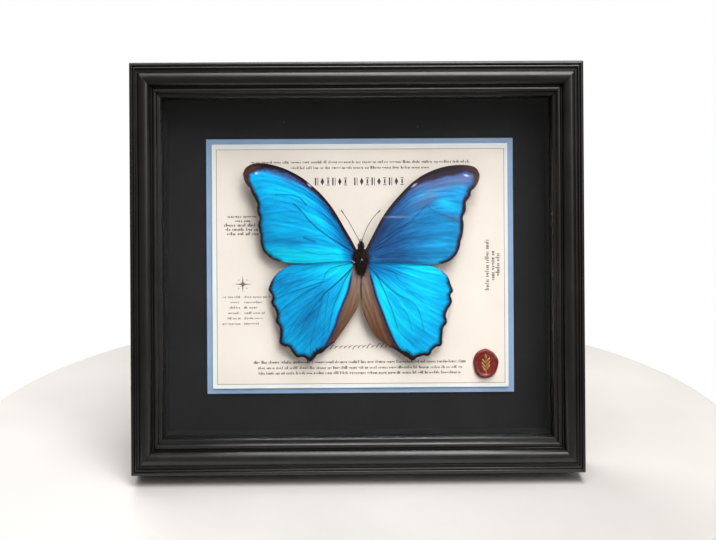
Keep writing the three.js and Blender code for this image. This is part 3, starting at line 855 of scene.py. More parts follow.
sprig = Shape()
stem = curve([(0.3, -6.0), (-0.2, -3.4), (0.15, -0.6), (0.0, 2.4)], 24)
sprig.tube([(SEAL[0] + a, DISH - 0.02, SEAL[1] + b) for a, b in stem], 0.2 + 0.12 * np.linspace(1, 0, 24))
for height, spread, long in ((-4.2, 30, 4.2), (-2.0, 34, 4.4), (0.4, 38, 3.6)):
    for sign in (-1, 1):
        turn = math.radians(90 - sign * spread)
        leaf(sprig, SEAL[0] + 0.1 * sign, SEAL[1] + height + 0.3 * sign, turn, long, 0.5, 0.42)
leaf(sprig, SEAL[0], SEAL[1] + 2.0, math.radians(92), 3.8, 0.55, 0.45)
build("seal_sprig", sprig, [gilding()], angle=60)

# ---- wings ---------------------------------------------------------------------------------
# Outlines, folds and veins are in millimetres from the middle of the body: x across, z up.
# A vein is a line and how dark it is. A spot is (x, z, half width, half height, turn).

WINGS = {
    ("fore", "left"): {
        "costa": [
            (-2.4, 4.6), (-5.3, 10.3), (-9.1, 16.8), (-12.8, 23.3), (-17.1, 29.9), (-22.5, 36.4),
            (-27.9, 41.3), (-33.2, 45.6), (-41.3, 50.0), (-49.4, 52.8), (-55.9, 53.8), (-60.8, 53.4),
            (-64.6, 51.3), (-66.2, 48.3),
        ],
        "outer": [
            (-66.2, 48.3), (-65.7, 45.6), (-64.9, 43.2), (-62.4, 39.9), (-61.1, 37.1), (-59.5, 34.2),
            (-58.3, 30.7), (-58.2, 26.9), (-57.2, 22.8), (-57.6, 18.5), (-56.7, 13.9), (-56.5, 9.5),
            (-55.4, 5.2), (-52.6, 1.8), (-50.0, -0.2), (-45.9, -1.7),
        ],
        "inner": [
            (-45.9, -1.7), (-41.5, -2.3), (-37.3, -2.6), (-26.0, -2.6), (-14.0, -1.8), (-2.4, -1.6),
        ],
        "veins": [
            ([(-3.0, 2.9), (-12.0, 8.4), (-19.1, 12.9), (-27.5, 19.9), (-31.6, 24.7), (-35.8, 29.4),
              (-37.7, 31.0)], 1.0),
            ([(-37.7, 31.0), (-42.4, 31.4), (-49.4, 30.4), (-58.6, 28.1)], 0.35),
            ([(-4.0, 6.0), (-10.1, 12.8), (-15.3, 19.4), (-21.8, 26.0), (-28.3, 31.7), (-37.0, 38.2),
              (-46.0, 43.2), (-56.0, 46.6)], 0.45),
            ([(-30.7, 30.3), (-33.5, 33.6), (-35.8, 35.0), (-40.0, 36.0), (-48.0, 36.2)], 0.85),
            ([(-48.0, 36.2), (-54.0, 35.2), (-60.0, 33.7)], 0.3),
            ([(-28.3, 31.7), (-37.7, 39.2), (-48.0, 42.1), (-63.0, 42.0)], 0.3),
            ([(-33.0, 26.1), (-40.5, 26.6), (-49.5, 25.5), (-57.4, 24.1)], 0.5),
            ([(-28.4, 20.9), (-35.9, 20.5), (-44.3, 19.8), (-57.0, 18.5)], 0.35),
            ([(-19.1, 12.9), (-29.4, 12.7), (-42.5, 11.1), (-56.1, 9.3)], 0.45),
            ([(-32.2, 11.8), (-28.4, 10.6), (-25.6, 9.6)], 0.8),
            ([(-3.0, 1.6), (-14.4, 2.5), (-24.7, 2.4), (-37.8, 5.6), (-47.2, 5.6), (-50.5, 3.7),
              (-50.5, 0.6)], 0.55),
            ([(-3.0, 0.0), (-16.8, 0.7), (-28.5, 0.1), (-37.9, -1.1)], 0.4),
        ],
        "spots": [(-58.8, 48.1, 0.95, 0.6, 0.3), (-28.9, 41.2, 1.25, 0.42, -0.7)],
    },
    ("fore", "right"): {
        "costa": [
            (2.4, 4.8), (6.4, 12.4), (11.3, 21.6), (16.3, 28.9), (22.2, 35.7), (28.0, 41.5), (33.9, 45.9),
            (40.7, 49.2), (48.1, 51.4), (55.4, 52.2), (61.8, 51.8), (65.4, 50.2), (67.0, 47.4),
        ],
        "outer": [
            (67.0, 47.4), (66.7, 44.2), (65.1, 40.6), (62.4, 37.4), (61.7, 34.8), (59.4, 31.1), (59.1, 26.9),
            (57.6, 22.6), (57.8, 17.9), (57.3, 13.1), (56.2, 9.2), (55.5, 5.3), (53.6, 1.4), (50.2, -1.8),
            (45.3, -3.5),
        ],
        "inner": [
            (45.3, -3.5), (40.0, -3.9), (30.0, -3.6), (15.0, -2.6), (2.4, -1.8),
        ],
        "veins": [
            ([(3.0, 2.6), (12.7, 8.9), (21.6, 15.4), (29.2, 21.9), (34.9, 27.5), (38.6, 31.3)], 0.8),
            ([(38.6, 31.3), (42.4, 33.1), (49.0, 32.6), (60.0, 29.4)], 0.4),
            ([(5.0, 7.0), (13.7, 16.4), (20.8, 24.8), (27.4, 31.3), (33.0, 35.5), (40.0, 41.0),
              (50.0, 45.0), (58.5, 45.5)], 0.3),
            ([(29.3, 34.6), (34.0, 36.5), (42.0, 37.4), (51.4, 37.3), (61.4, 35.2)], 0.55),
            ([(38.6, 28.5), (42.4, 25.6), (47.1, 24.0), (53.6, 21.3), (56.9, 18.4)], 0.55),
            ([(29.7, 20.1), (39.5, 19.5), (48.9, 18.5), (57.3, 15.8)], 0.4),
            ([(19.7, 11.2), (32.9, 11.4), (44.2, 10.6), (56.2, 8.1)], 0.45),
            ([(3.0, 1.9), (20.6, 1.4), (34.7, 0.6), (44.1, 0.7), (51.5, 0.4)], 0.4),
            ([(3.0, -1.2), (20.6, -1.7), (34.7, -2.8)], 0.5),
        ],
        "spots": [(59.6, 46.2, 1.35, 0.5, -0.25), (30.2, 40.9, 1.6, 0.42, 0.64)],
    },
    ("hind", "left"): {
        "costa": [
            (-2.0, 0.5), (-15.0, -0.6), (-28.0, -1.6), (-39.1, -3.6), (-46.0, -7.3),
        ],
        "outer": [
            (-46.0, -7.3), (-49.3, -11.0), (-51.2, -14.4), (-52.2, -17.8), (-50.6, -20.6), (-50.3, -22.6),
            (-50.8, -25.3), (-48.9, -28.6), (-47.9, -31.8), (-48.2, -35.8), (-46.3, -39.0), (-46.0, -43.4),
            (-46.1, -47.8), (-43.4, -49.8), (-41.2, -50.3), (-38.7, -53.5), (-36.8, -55.8), (-34.6, -55.9),
            (-32.4, -56.2), (-29.3, -58.4), (-27.0, -56.8), (-24.9, -54.6), (-22.7, -53.6), (-19.9, -51.3),
            (-17.4, -49.4), (-15.2, -47.8),
        ],
        "inner": [
            (-15.2, -47.8), (-10.5, -41.3), (-5.8, -34.3), (-2.4, -28.6), (-0.9, -22.6), (-0.4, -12.3),
            (-0.5, -5.0),
        ],
        "fold": [
            (-3.4, -1.0), (-5.1, -5.2), (-7.5, -17.9), (-12.3, -30.0), (-15.2, -38.9), (-19.0, -46.8),
            (-21.0, -51.0),
        ],
        "veins": [
            ([(-3.5, -2.2), (-15.3, -5.1), (-19.5, -7.8), (-21.2, -12.0)], 0.7),
            ([(-4.2, -4.6), (-9.9, -10.4), (-15.4, -15.4), (-20.9, -20.0), (-23.6, -24.4)], 1.0),
            ([(-5.3, -6.2), (-9.1, -12.1), (-12.1, -18.8), (-15.5, -26.7), (-17.6, -35.0),
              (-18.8, -42.1)], 0.7),
            ([(-10.0, -3.0), (-19.5, -3.6), (-30.4, -4.9), (-40.4, -6.4), (-45.6, -8.6)], 0.35),
            ([(-21.2, -12.0), (-28.9, -12.2), (-38.4, -13.0), (-45.5, -15.1), (-50.8, -17.4)], 0.4),
            ([(-21.2, -13.0), (-30.5, -16.1), (-40.5, -19.4), (-47.6, -22.6), (-49.6, -24.2)], 0.75),
            ([(-22.5, -15.0), (-31.3, -19.0), (-39.7, -24.8), (-45.6, -30.2), (-47.8, -34.0)], 0.6),
            ([(-20.9, -18.0), (-28.6, -25.0), (-35.6, -33.1), (-41.5, -42.1), (-45.0, -48.5)], 0.5),
            ([(-20.9, -20.0), (-27.5, -28.5), (-32.8, -38.0), (-36.5, -47.4), (-38.2, -53.0)], 0.5),
            ([(-20.9, -20.0), (-24.2, -30.5), (-26.6, -39.1), (-28.6, -47.5), (-29.2, -57.0)], 0.5),
            ([(-18.4, -19.5), (-20.5, -32.9), (-21.8, -43.4), (-22.7, -53.0)], 0.4),
        ],
    },
    ("hind", "right"): {
        "costa": [
            (2.0, 0.3), (15.0, -1.4), (28.0, -2.8), (40.2, -4.6), (45.6, -7.8),
        ],
        "outer": [
            (45.6, -7.8), (49.1, -11.3), (50.6, -15.4), (51.9, -19.0), (50.6, -21.4), (51.2, -25.4),
            (49.0, -29.4), (47.9, -32.8), (48.3, -36.8), (46.3, -40.2), (45.6, -45.6), (45.2, -49.6),
            (42.2, -50.8), (40.0, -52.6), (38.2, -55.4), (35.0, -55.6), (31.6, -56.6), (28.6, -58.4),
            (26.6, -56.8), (24.2, -55.4), (20.7, -52.8), (18.6, -51.8), (16.9, -50.6),
        ],
        "inner": [
            (16.9, -50.6), (11.8, -47.9), (6.6, -42.8), (2.2, -34.3), (0.5, -27.2), (0.3, -12.3), (0.5, -5.0),
        ],
        "fold": [
            (3.2, -1.0), (4.3, -5.3), (6.4, -13.3), (8.7, -21.7), (11.9, -30.2), (15.1, -39.1), (18.8, -47.4),
            (21.4, -51.8),
        ],
        "veins": [
            ([(3.4, -2.6), (13.4, -6.4), (18.8, -8.1), (20.9, -12.3)], 0.6),
            ([(4.0, -4.0), (7.3, -7.4), (11.3, -12.2), (16.3, -17.3), (20.8, -20.6), (25.4, -22.8)], 0.8),
            ([(7.5, -7.2), (13.8, -11.4), (20.9, -17.4), (31.3, -24.5), (38.8, -29.1), (47.2, -33.9)], 0.5),
            ([(8.4, -9.0), (10.8, -13.6), (14.6, -22.3), (18.3, -32.3), (20.3, -39.5)], 0.8),
            ([(15.8, -18.9), (20.8, -24.7), (26.2, -32.6), (28.7, -41.6)], 0.5),
            ([(25.4, -22.8), (31.3, -27.9), (33.8, -34.3), (35.4, -40.8)], 0.6),
            ([(17.2, -5.1), (31.4, -6.1), (41.0, -7.2), (46.2, -9.4)], 0.3),
            ([(20.5, -8.1), (31.4, -11.1), (41.8, -14.9), (50.2, -19.4)], 0.4),
            ([(20.9, -12.3), (29.0, -17.1), (38.5, -22.2), (49.8, -24.0)], 0.45),
            ([(25.5, -18.0), (35.5, -26.1), (41.7, -32.3), (47.6, -37.0)], 0.35),
        ],
    },
}
BORDER = {  # width of the dark border, as (share of the way along costa and outer margin, millimetres)
    "fore": [
        (0.0, 1.6), (0.12, 1.3), (0.3, 1.7), (0.44, 2.1), (0.52, 3.0), (0.57, 4.2), (0.61, 2.6), (0.66, 1.1),
        (0.8, 0.8), (0.9, 0.8), (0.97, 0.5), (1.0, 0.1),
    ],
    "hind": [
        (0.0, -2.0), (0.36, -1.5), (0.42, 0.7), (0.52, 0.9), (0.6, 1.1), (0.8, 1.0), (0.88, 1.7), (0.93, 2.3),
        (0.955, 1.1), (1.0, 0.6),
    ],
}
TONE = {  # how bright the blue is: a level, then patches as (amount, x, z, half width, half height, turn)
    ("fore", "left"): (
        # The first patch here, a narrow dark band across the left forewing, is painted shade along a crease
        # in the wing.
        0.77, (-0.24, -40, 9.2, 17, 1.8, -0.03), (-0.1, -40, 28, 12, 5), (0.08, -32, 36, 10, 6),
        (0.08, -20, 22, 7, 7), (-0.12, -54, 22, 5, 18),
    ),
    ("fore", "right"): (
        0.22, (0.3, 48, 30.5, 8, 3.0, -0.35), (0.24, 38, 36.5, 9, 2.0, 0.3), (-0.14, 44, 34, 8, 1.6, 0.1),
        (-0.1, 50, 22, 8, 2, -0.3), (0.14, 57, 40, 6, 4), (0.12, 44, 8, 12, 3.2), (-0.1, 14, 15, 7, 9),
        (0.12, 34, 37, 5, 2.5, 0.7), (-0.12, 44, 43, 19, 5, 0.16),
    ),
    ("hind", "left"): (
        0.67, (0.24, -9, -5, 14, 8), (0.13, -22, -8, 14, 6), (0.3, -10.5, -21, 1.8, 15, -0.36),
        (-0.2, -30, -34, 5, 20, -0.7), (0.12, -20, -28, 4, 16, -0.5), (0.1, -38, -44, 5, 9, -0.6),
        (-0.16, -47, -13, 7, 6), (-0.1, -26, -46, 6, 9),
    ),
    ("hind", "right"): (
        0.85, (-0.52, 5, -5, 11, 7), (-0.22, 17, -9, 9, 4, -0.3), (-0.14, 34, -46, 9, 8),
        (0.22, 12.5, -24, 3.6, 17, 0.35),
    ),
}
WING_DEPTH = {"fore": 19.7, "hind": 20.9}
STEPS, LANES = 190, 140  # quads of a wing from its root to its margin, and across


def on_body(x, y, z):
    """Points in the frame's axes, for x and z measured from the middle of the body."""
    return np.stack(np.broadcast_arrays(BODY[0] + x, y, BODY[1] + z), -1)


def swung(x, z, cx, cz, turn):
    """How far a point lies from a centre, along and across an axis that is turned."""
    c, s = math.cos(turn), math.sin(turn)
    return (x - cx) * c + (z - cz) * s, (z - cz) * c - (x - cx) * s


def bell(x, z, cx, cz, wide, high, turn=0.0):
    """A soft round patch, 1 in its middle."""
    u, v = swung(x, z, cx, cz, turn)
    return np.exp(-((u / wide) ** 2) - (v / high) ** 2)


def blue_tone(kind, side, x, z, from_costa):
    """How bright the blue is at each point, from 0 to 1."""
    level, *patches = TONE[kind, side]
    tone = level + sum(amount * bell(x, z, *patch) for amount, *patch in patches)
    if (kind, side) == ("fore", "left"):
        tone += 0.2 * ease(-z, -7.5, -4.5) * ease(np.abs(x), 6, 14)
        tone -= 0.46 * ease(-from_costa, -10.5, -2.5) * ease(-np.abs(x), -64, -10)
    elif (kind, side) == ("fore", "right"):
        tone += 0.34 * ease(x, 16, 50) + 0.16 * ease(-z, -3, 2) * ease(x, 24, 42)
        tone -= 0.12 * ease(-from_costa, -7, -2) + 0.2 * ease(x, 56.5, 62)
    elif (kind, side) == ("hind", "right"):
        tone -= 0.14 * ease(x, 36, 50)
    return tone


def sheet(plan):
    """A wing's margins, and points all over it with their shares of the way out (s) and across (t)."""
    costa, outer = curve(plan["costa"], STEPS + 1), curve(plan["outer"], LANES + 1)
    inner = curve(plan["inner"][::-1], STEPS + 1)
    s = np.linspace(0, 1, STEPS + 1)[:, None, None]
    t = np.linspace(0, 1, LANES + 1)[None, :, None]
    root = costa[0] + (inner[0] - costa[0]) * t[0]
    flat = (1 - t) * costa[:, None] + t * inner[:, None] + (1 - s) * root[None] + s * outer[None]
    at_root = (1 - s) * (1 - t) * costa[0]
    flat -= at_root + s * (1 - t) * costa[-1] + (1 - s) * t * inner[0] + s * t * inner[-1]
    s, t = (np.broadcast_to(k[..., 0], (STEPS + 1, LANES + 1)).ravel() for k in (s, t))
    return costa, outer, flat.reshape(-1, 2), s, t


def plate(x, y, z, thick):
    """A closed skin over a wing's points, thick to either side of their depths."""
    count = len(x)
    grid = np.arange(count).reshape(STEPS + 1, LANES + 1)
    quads = np.stack([grid[:-1, :-1], grid[1:, :-1], grid[1:, 1:], grid[:-1, 1:]], -1).reshape(-1, 4)
    ring = np.concatenate([grid[:, 0], grid[-1, 1:], grid[-2::-1, -1], grid[0, -2:0:-1]])
    after = np.roll(ring, -1)
    skirt = np.stack([ring, after, after + count, ring + count], 1)
    points = np.vstack([on_body(x, y - thick, z), on_body(x, y + thick, z)])
    return Shape().add(points.tolist(), np.vstack([quads, quads[:, ::-1] + count, skirt]).tolist())


def wing(kind, side):
    """One wing: the values that colour its scales, its shape and its fringe."""
    plan, fore, right = WINGS[kind, side], kind == "fore", side == "right"
    costa, outer, flat, s, t = sheet(plan)
    x, z = flat[:, 0], flat[:, 1]
    count, none = len(flat), np.zeros(len(flat))

    from_edge, along = nearest(flat, np.vstack([costa, outer[1:]]))
    from_costa = nearest(flat, costa)[0]
    width = np.interp(along, *zip(*BORDER[kind]))
    if fore and not right:
        width *= 1 - 0.4 * np.exp(-(((along - 0.46) / 0.09) ** 2))
    if not fore:  # small teeth where the border crosses the fold
        width += 0.45 * np.sin(2 * np.pi * 90 * along) * ease(along, 0.86, 0.92)
    vein = none
    for points, weight in plan["veins"]:
        away, run = nearest(flat, curve(points, 40))
        strong = weight ** (1.5 if fore else 1.1)
        vein = np.maximum(vein, strong * np.exp(-((away / (0.2 + 0.2 * weight)) ** 2)) * (1 - 0.3 * run))
    spot = np.full(count, -9.0)
    for cx, cz, wide, high, turn in plan.get("spots", ()):
        u, v = swung(x, z, cx, cz, turn)
        spot = np.maximum(spot, high * (1 - np.hypot(u / wide, v / high)))
    tone = blue_tone(kind, side, x, z, from_costa)
    if fore:
        brown = rust = violet = none
        if right:
            upper = bell(x, z, 44, 43, 19, 4.6, 0.16) + 0.7 * bell(x, z, 37, 33, 7, 3.5, 0.5)
            upper += 0.8 * bell(x, z, 60, 46, 5, 4)
            violet = 0.95 * np.clip(upper, 0, 1)
            violet += 0.4 * bell(x, z, 52, 22, 6, 1.6, -0.35) + 0.1 * bell(x, z, 26, 29, 8, 9)
            spot = np.maximum(spot, -0.28 + 0.24 * bell(x, z, 19.5, 23.1, 7.5, 0.55))
        apex = ease(-np.hypot(x - outer[0, 0], z - outer[0, 1]), -13, -4)
        # A purple band behind the border, widest before the wing's tip.
        band = np.interp(along, (0.24, 0.32, 0.4, 0.47, 0.54, 0.6, 0.9), (0.8, 3.0, 8.0, 7.0, 4.0, 2.8, 2.0))
        plum = ease(width - from_edge, -band, 0.0) * ease(along, 0.2, 0.34)
        if right:
            plum *= (1 - 0.2 * ease(along, 0.6, 0.7)) * (1 - 0.6 * apex)
        else:
            plum *= 0.66 * ease(-along, -0.76, -0.62)
    else:
        fold = curve(plan["fold"], 60)
        line = np.interp(-z, -fold[:, 1], fold[:, 0])
        inside = line - x if right else x - line  # how far a point lies on the body's side of the fold
        brown = ease(inside, 0.0, 0.5)
        violet = 0.2 * ease(inside, -1.6, 0.2) * (1 - brown) * ease(-z, 10, 22)
        tone -= 0.55 * ease(inside, -1.2, 0.1) * ease(-z, 6, 20)
        rust = ease(-z, 28, 46) * (0.55 + 0.4 * ease(inside, 3, 0))
        apex = none
        plum = 0.85 * np.exp(-(((inside - 0.35) / 0.75) ** 2)) * ease(-z, 3, 14)  # a dark line at the fold
    rays = 0.52 + 0.4 * ease(-np.hypot(x, z), -24, -7) + (0.04 if fore else 0.34)
    disc = 4.6 - np.hypot(x, 1.1 * (z - 0.6))  # dark round the wing's root

    # The wing's depth: a slow and a quick wave across it, raised veins, and the lift of its edges.
    wave = 0.09 * np.sin(2 * np.pi * (t * (6 if fore else 9) + 0.15 * np.sin(5 * s)))
    wave += 0.035 * np.sin(2 * np.pi * (t * (17 if fore else 23) + 0.3 * np.sin(7 * s)))
    y = WING_DEPTH[kind] + wave * ease(s, 0.05, 0.5) * (1 - 0.6 * brown) - 0.16 * vein
    y += -0.9 * np.sin(np.pi * t) * ease(s, 0.1, 0.6) * (1 if fore else 0.4)
    if fore:
        y += 0.5 * ease(s, 0.9, 1.0) + 0.3 * ease(np.abs(x), 20, 66)
        y += 2.2 * ease(-z, -34, 4) * ease(s, 0.45, 1.0)
    else:
        y += 1.5 * ease(inside, -0.2, 2.6) + 0.1 * brown * np.sin(2.3 * inside) + 2.4 * ease(s, 0.35, 1.0)
    shape = plate(x, y, z, 0.12 + 0.10 * ease(-s, -0.4, 0.0))

    single = {
        "tone": tone, "violet": violet, "vein": vein, "rim": np.maximum(width - from_edge, disc),
        "spot": spot, "brown": brown, "rust": rust, "apex": apex, "plum": plum, "rays": rays,
    }
    values = {key: np.tile(numbers, 2) for key, numbers in single.items()}
    values["brown"][count:] = 1.0  # the underside is brown all over
    tag = (3.0 if fore else 9.0) + (20.0 if right else 0.0)  # so that no two wings share their streaks
    values["ray"] = np.tile(np.stack([s * 3.0, t * (23 if fore else 42), np.full(count, tag)], 1), (2, 1))
    fringe(shape, values, outer, y.reshape(STEPS + 1, LANES + 1)[-1], 101 if fore else 102)
    name, node = f"wing_{kind}_{side}", f"{kind}wing_{side}"
    build(name, shape, [WING, FRINGE], [node], angle=50, values=values)


def strands(bases, ahead, lengths, radius, bend=0.0):
    """Tapered three-sided hairs of 12 points each: points and faces, with a curve towards bend."""
    ahead = ahead / np.linalg.norm(ahead, axis=1)[:, None]
    helper = np.where(np.abs(ahead[:, 1:2]) < 0.8, (0.0, 1.0, 0.0), (1.0, 0.0, 0.0))
    side = np.cross(ahead, helper)
    side /= np.linalg.norm(side, axis=1)[:, None]
    over = np.cross(ahead, side)
    points = []
    for share, size in ((0.0, 1.0), (0.45, 0.7), (0.8, 0.4), (1.0, 0.08)):
        centre = bases + ahead * (lengths * share)[:, None] + bend * (lengths * share**2)[:, None]
        for a in (0.0, 2.094, 4.189):  # thirds of a turn
            points.append(centre + radius[:, None] * size * (math.cos(a) * side + math.sin(a) * over))
    points = np.stack(points, 1).reshape(-1, 3)
    start = (np.arange(len(bases)) * 12)[:, None]
    ends = [start + [[2, 1, 0]], start + [[9, 10, 11]]]
    sides = []
    for a, b in ((0, 1), (1, 2), (2, 0), (3, 4), (4, 5), (5, 3), (6, 7), (7, 8), (8, 6)):
        sides.append(start + [[a, b, b + 3, a + 3]])
    return points, [*np.vstack(ends).tolist(), *np.vstack(sides).tolist()]


def fringe(shape, values, outer, depths, seed):
    """Short scales along the outer margin, pale in the hollows between veins."""
    draw = np.random.default_rng(seed)
    count = 900
    line = curve(outer, count)
    y = np.interp(np.linspace(0, 1, count), np.linspace(0, 1, len(depths)), depths)
    ahead = np.gradient(line, axis=0)
    ahead /= np.linalg.norm(ahead, axis=1)[:, None]
    normal = np.stack([ahead[:, 1], np.zeros(count), -ahead[:, 0]], 1)
    if (normal[:, ::2] * (line - line.mean(0))).sum() < 0:
        normal = -normal
    directions = normal + (0.0, 0.1, 0.0) + draw.normal(0, 0.12, (count, 3))
    bases = on_body(line[:, 0], y, line[:, 1]) - 0.15 * normal
    lengths = draw.uniform(0.45, 0.75, count)
    points, faces = strands(bases, directions, lengths, np.full(count, 0.055))
    shape.add(points, faces, 1)
    bulge = np.gradient(np.unwrap(np.arctan2(ahead[:, 1], ahead[:, 0])))
    bulge = np.convolve(bulge, np.ones(31) / 31, "same") * (1 if (bulge.sum() > 0) else -1)
    pale = np.repeat(ease(-bulge, 0.0, 0.012), 12)
    for key, numbers in values.items():
        extra = pale if key == "violet" else np.zeros((len(pale), *numbers.shape[1:]))
        values[key] = np.concatenate([numbers, extra])


for kind in ("hind", "fore"):
    for side in ("left", "right"):
        wing(kind, side)

# ---- body ----------------------------------------------------------------------------------


def body():
    """Head, thorax and abdomen in one skin, with eyes, palps and fur."""
    outline = [  # height, half width, half depth, depth of the middle
        (9.35, 0.2, 0.3, 20.6), (9.0, 0.6, 0.8, 20.6), (8.2, 1.1, 1.3, 20.6), (7.1, 1.55, 1.6, 20.6),
        (6.2, 1.5, 1.5, 20.7), (5.7, 1.3, 1.35, 20.8), (5.1, 1.8, 1.7, 20.9), (4.2, 2.7, 2.4, 21.0),
        (2.8, 3.5, 3.1, 21.1), (1.0, 3.8, 3.4, 21.2), (-0.9, 3.55, 3.2, 21.2), (-2.5, 3.0, 2.6, 21.1),
        (-3.5, 2.6, 2.3, 21.0), (-4.1, 2.5, 2.1, 21.0), (-5.0, 2.65, 2.2, 21.1), (-6.2, 2.55, 2.1, 21.3),
        (-7.4, 2.3, 1.85, 21.5), (-8.5, 1.8, 1.5, 21.7), (-9.3, 1.05, 0.95, 21.8), (-9.7, 0.3, 0.3, 21.9),
    ]
    trunk = curve(outline, 90)
    turns = np.linspace(0, 2 * np.pi, 40, endpoint=False)
    rings = []
    for level, wide, deep, middle in trunk:
        swell = 1 + (0.035 * math.sin(level * 5.2) if level < -4 else 0.0)  # the abdomen's segments
        rings.append(on_body(wide * swell * np.cos(turns), middle - deep * swell * np.sin(turns), level))
    shape = Shape().rings(rings)
    for sign in (-1, 1):
        eyeball = []
        for k in np.linspace(0.0, np.pi, 14):
            x, radius = sign * (1.0 + 0.85 * math.cos(k)), math.sin(k)
            y, z = 20.1 - 1.1 * radius * np.sin(turns[::2]), 1.15 * radius * np.cos(turns[::2])
            eyeball.append(on_body(x, y, 7.5 + z))
        shape.rings(eyeball, 1)
        palp = curve([(sign * 0.35, 8.6), (sign * 0.5, 9.9), (sign * 0.45, 11.0)], 10)
        shape.tube(on_body(palp[:, 0], 20.2, palp[:, 1]), np.linspace(0.42, 0.12, 10), 2)

    draw = np.random.default_rng(5)
    count = 6200
    at = draw.beta(1.15, 1.5, count)
    turn = draw.uniform(0, 2 * np.pi, count)
    number = np.arange(len(trunk))
    level, wide, deep, middle = (np.interp(at * number[-1], number, trunk[:, k]) for k in range(4))
    bases = on_body(0.93 * wide * np.cos(turn), middle - 0.93 * deep * np.sin(turn), level)
    out = np.stack([np.cos(turn), -np.sin(turn), np.full(count, -0.75)], 1)
    out[:, 2] += 0.9 * ease(level, 4.5, 8.5)
    clump = np.sin(3 * turn + 1.9 * level) * np.sin(1.3 * level - 2 * turn + 1)
    out += draw.normal(0, 0.28, (count, 3))
    lengths = draw.uniform(0.8, 3.3, count) * (1 + 0.75 * clump) * (1 - 0.35 * np.abs(np.cos(turn)))
    lengths *= np.where(level > 5.4, 0.35, 1.0) * np.where(level < -4.5, 0.45, 1.0)
    bend = np.array([[0.0, 0.1, -0.35]])
    points, faces = strands(bases, out, lengths, draw.uniform(0.06, 0.11, count), bend)
    shape.add(points, faces, 2)

    count = 34  # a pale tuft beside the left wings' roots
    along = draw.uniform(0, 1, count)
    y = draw.uniform(17.4, 18.2, count)
    bases = on_body(-3.4 - 1.6 * along, y, -2.5 + 1.2 * along + draw.normal(0, 0.1, count))
    out = np.array([-1.0, -0.2, 0.7]) + draw.normal(0, 0.08, (count, 3))
    points, faces = strands(bases, out, draw.uniform(0.5, 1.2, count), np.full(count, 0.05))
    shape.add(points, faces, 3)
    build("insect_body", shape, [FUR, EYE, HAIR, TUFT], ["butterfly_body"], angle=50)


body()

for name, points in (
    ("left", [(-0.7, 8.4), (-1.5, 10.7), (-3.7, 14.9), (-6.1, 19.3), (-8.8, 23.7), (-11.3, 27.5)]),
    ("right", [(0.7, 8.4), (0.9, 10.9), (2.6, 15.4), (4.6, 19.3), (7.5, 23.5), (11.2, 27.2)]),
):
    line = curve(points, 90)
    share = np.linspace(0, 1, 90)
    path = on_body(line[:, 0], 19.8 - 1.6 * share, line[:, 1])
    ringed = 0.17 + 0.02 * np.sin(share * 400) + 0.16 * np.exp(-(((share - 0.94) / 0.045) ** 2))
    ringed[-3:] *= (0.8, 0.5, 0.2)
    build(f"feeler_{name}", Shape().tube(path, ringed), [FEELER], [f"antenna_{name}"])

pin = Shape().turned(
    [
        (0.02, 15.22), (0.25, 15.26), (0.45, 15.42), (0.56, 15.64), (0.58, 15.84), (0.5, 16.06),
        (0.34, 16.2), (0.24, 16.26), (0.23, 24.0), (0.23, 31.4), (0.02, 32.3),
    ],
    *PIN,
)
build("specimen_pin", pin, [STEEL], ["insect_pin"], angle=50)

# ---- back ----------------------------------------------------------------------------------

softened("rear_board", "back_panel", BOARD, 0.25)
softened("easel_leg", "easel_strut", STRUT_BOARD, 0.45, "strut")
softened("hinge_plate_upper", "hinge_leaf_fixed", BRASS, 0.14)
softened("hinge_plate_lower", "hinge_leaf_strut", STRUT_BRASS, 0.14, "strut")
softened("hinge_rod", "hinge_pin", STEEL, 0.2)
softened("hanging_plate", "sawtooth_hanger", BRASS, 0.14)


def screw_head(profile, sides=32):
    """A turned head and shank with a cross recess, drawn at the origin with its top towards +y."""
    top, radius = max(y for _, y in profile), max(r for r, _ in profile)
    cross = Shape()
    for along, across in ((radius * 0.62, radius * 0.13), (radius * 0.13, radius * 0.62)):
        rings = []
        for y, share in ((top - radius * 0.55, 0.35), (top + 1.0, 1.0)):
            corners = ((-1, -1), (1, -1), (1, 1), (-1, 1))
            rings.append([(a * along * share, y, b * across * share) for a, b in corners])
        cross.rings(rings)
    parts = []
    for shape in (Shape().turned(profile, 0, 0, sides), cross):
        mesh = bpy.data.meshes.new("screw work")
        mesh.from_pydata(shape.points, [], shape.faces)
        face_outwards(mesh)
        parts.append(bpy.data.objects.new("screw work", mesh))
        scene.collection.objects.link(parts[-1])
    cut = parts[0].modifiers.new("cross", "BOOLEAN")
    cut.operation, cut.object, cut.solver, cut.use_self = "DIFFERENCE", parts[1], "EXACT", True
    bpy.context.view_layer.update()
    done = parts[0].evaluated_get(bpy.context.evaluated_depsgraph_get()).to_mesh()
    points = [tuple(v.co) for v in done.vertices]
    faces = [tuple(p.vertices) for p in done.polygons]
    for part in parts:
        mesh = part.data
        bpy.data.objects.remove(part)
        bpy.data.meshes.remove(mesh)
    return points, faces


def place_screw(name, node, template, x, z, turn):
    """A copy of a screw at x, z, with its cross turned."""
    c, s = math.cos(turn), math.sin(turn)
    points = [(x + a * c - b * s, y, z + a * s + b * c) for a, y, b in template[0]]
    build(name, Shape().add(points, template[1]), [STEEL], [node], angle=30)


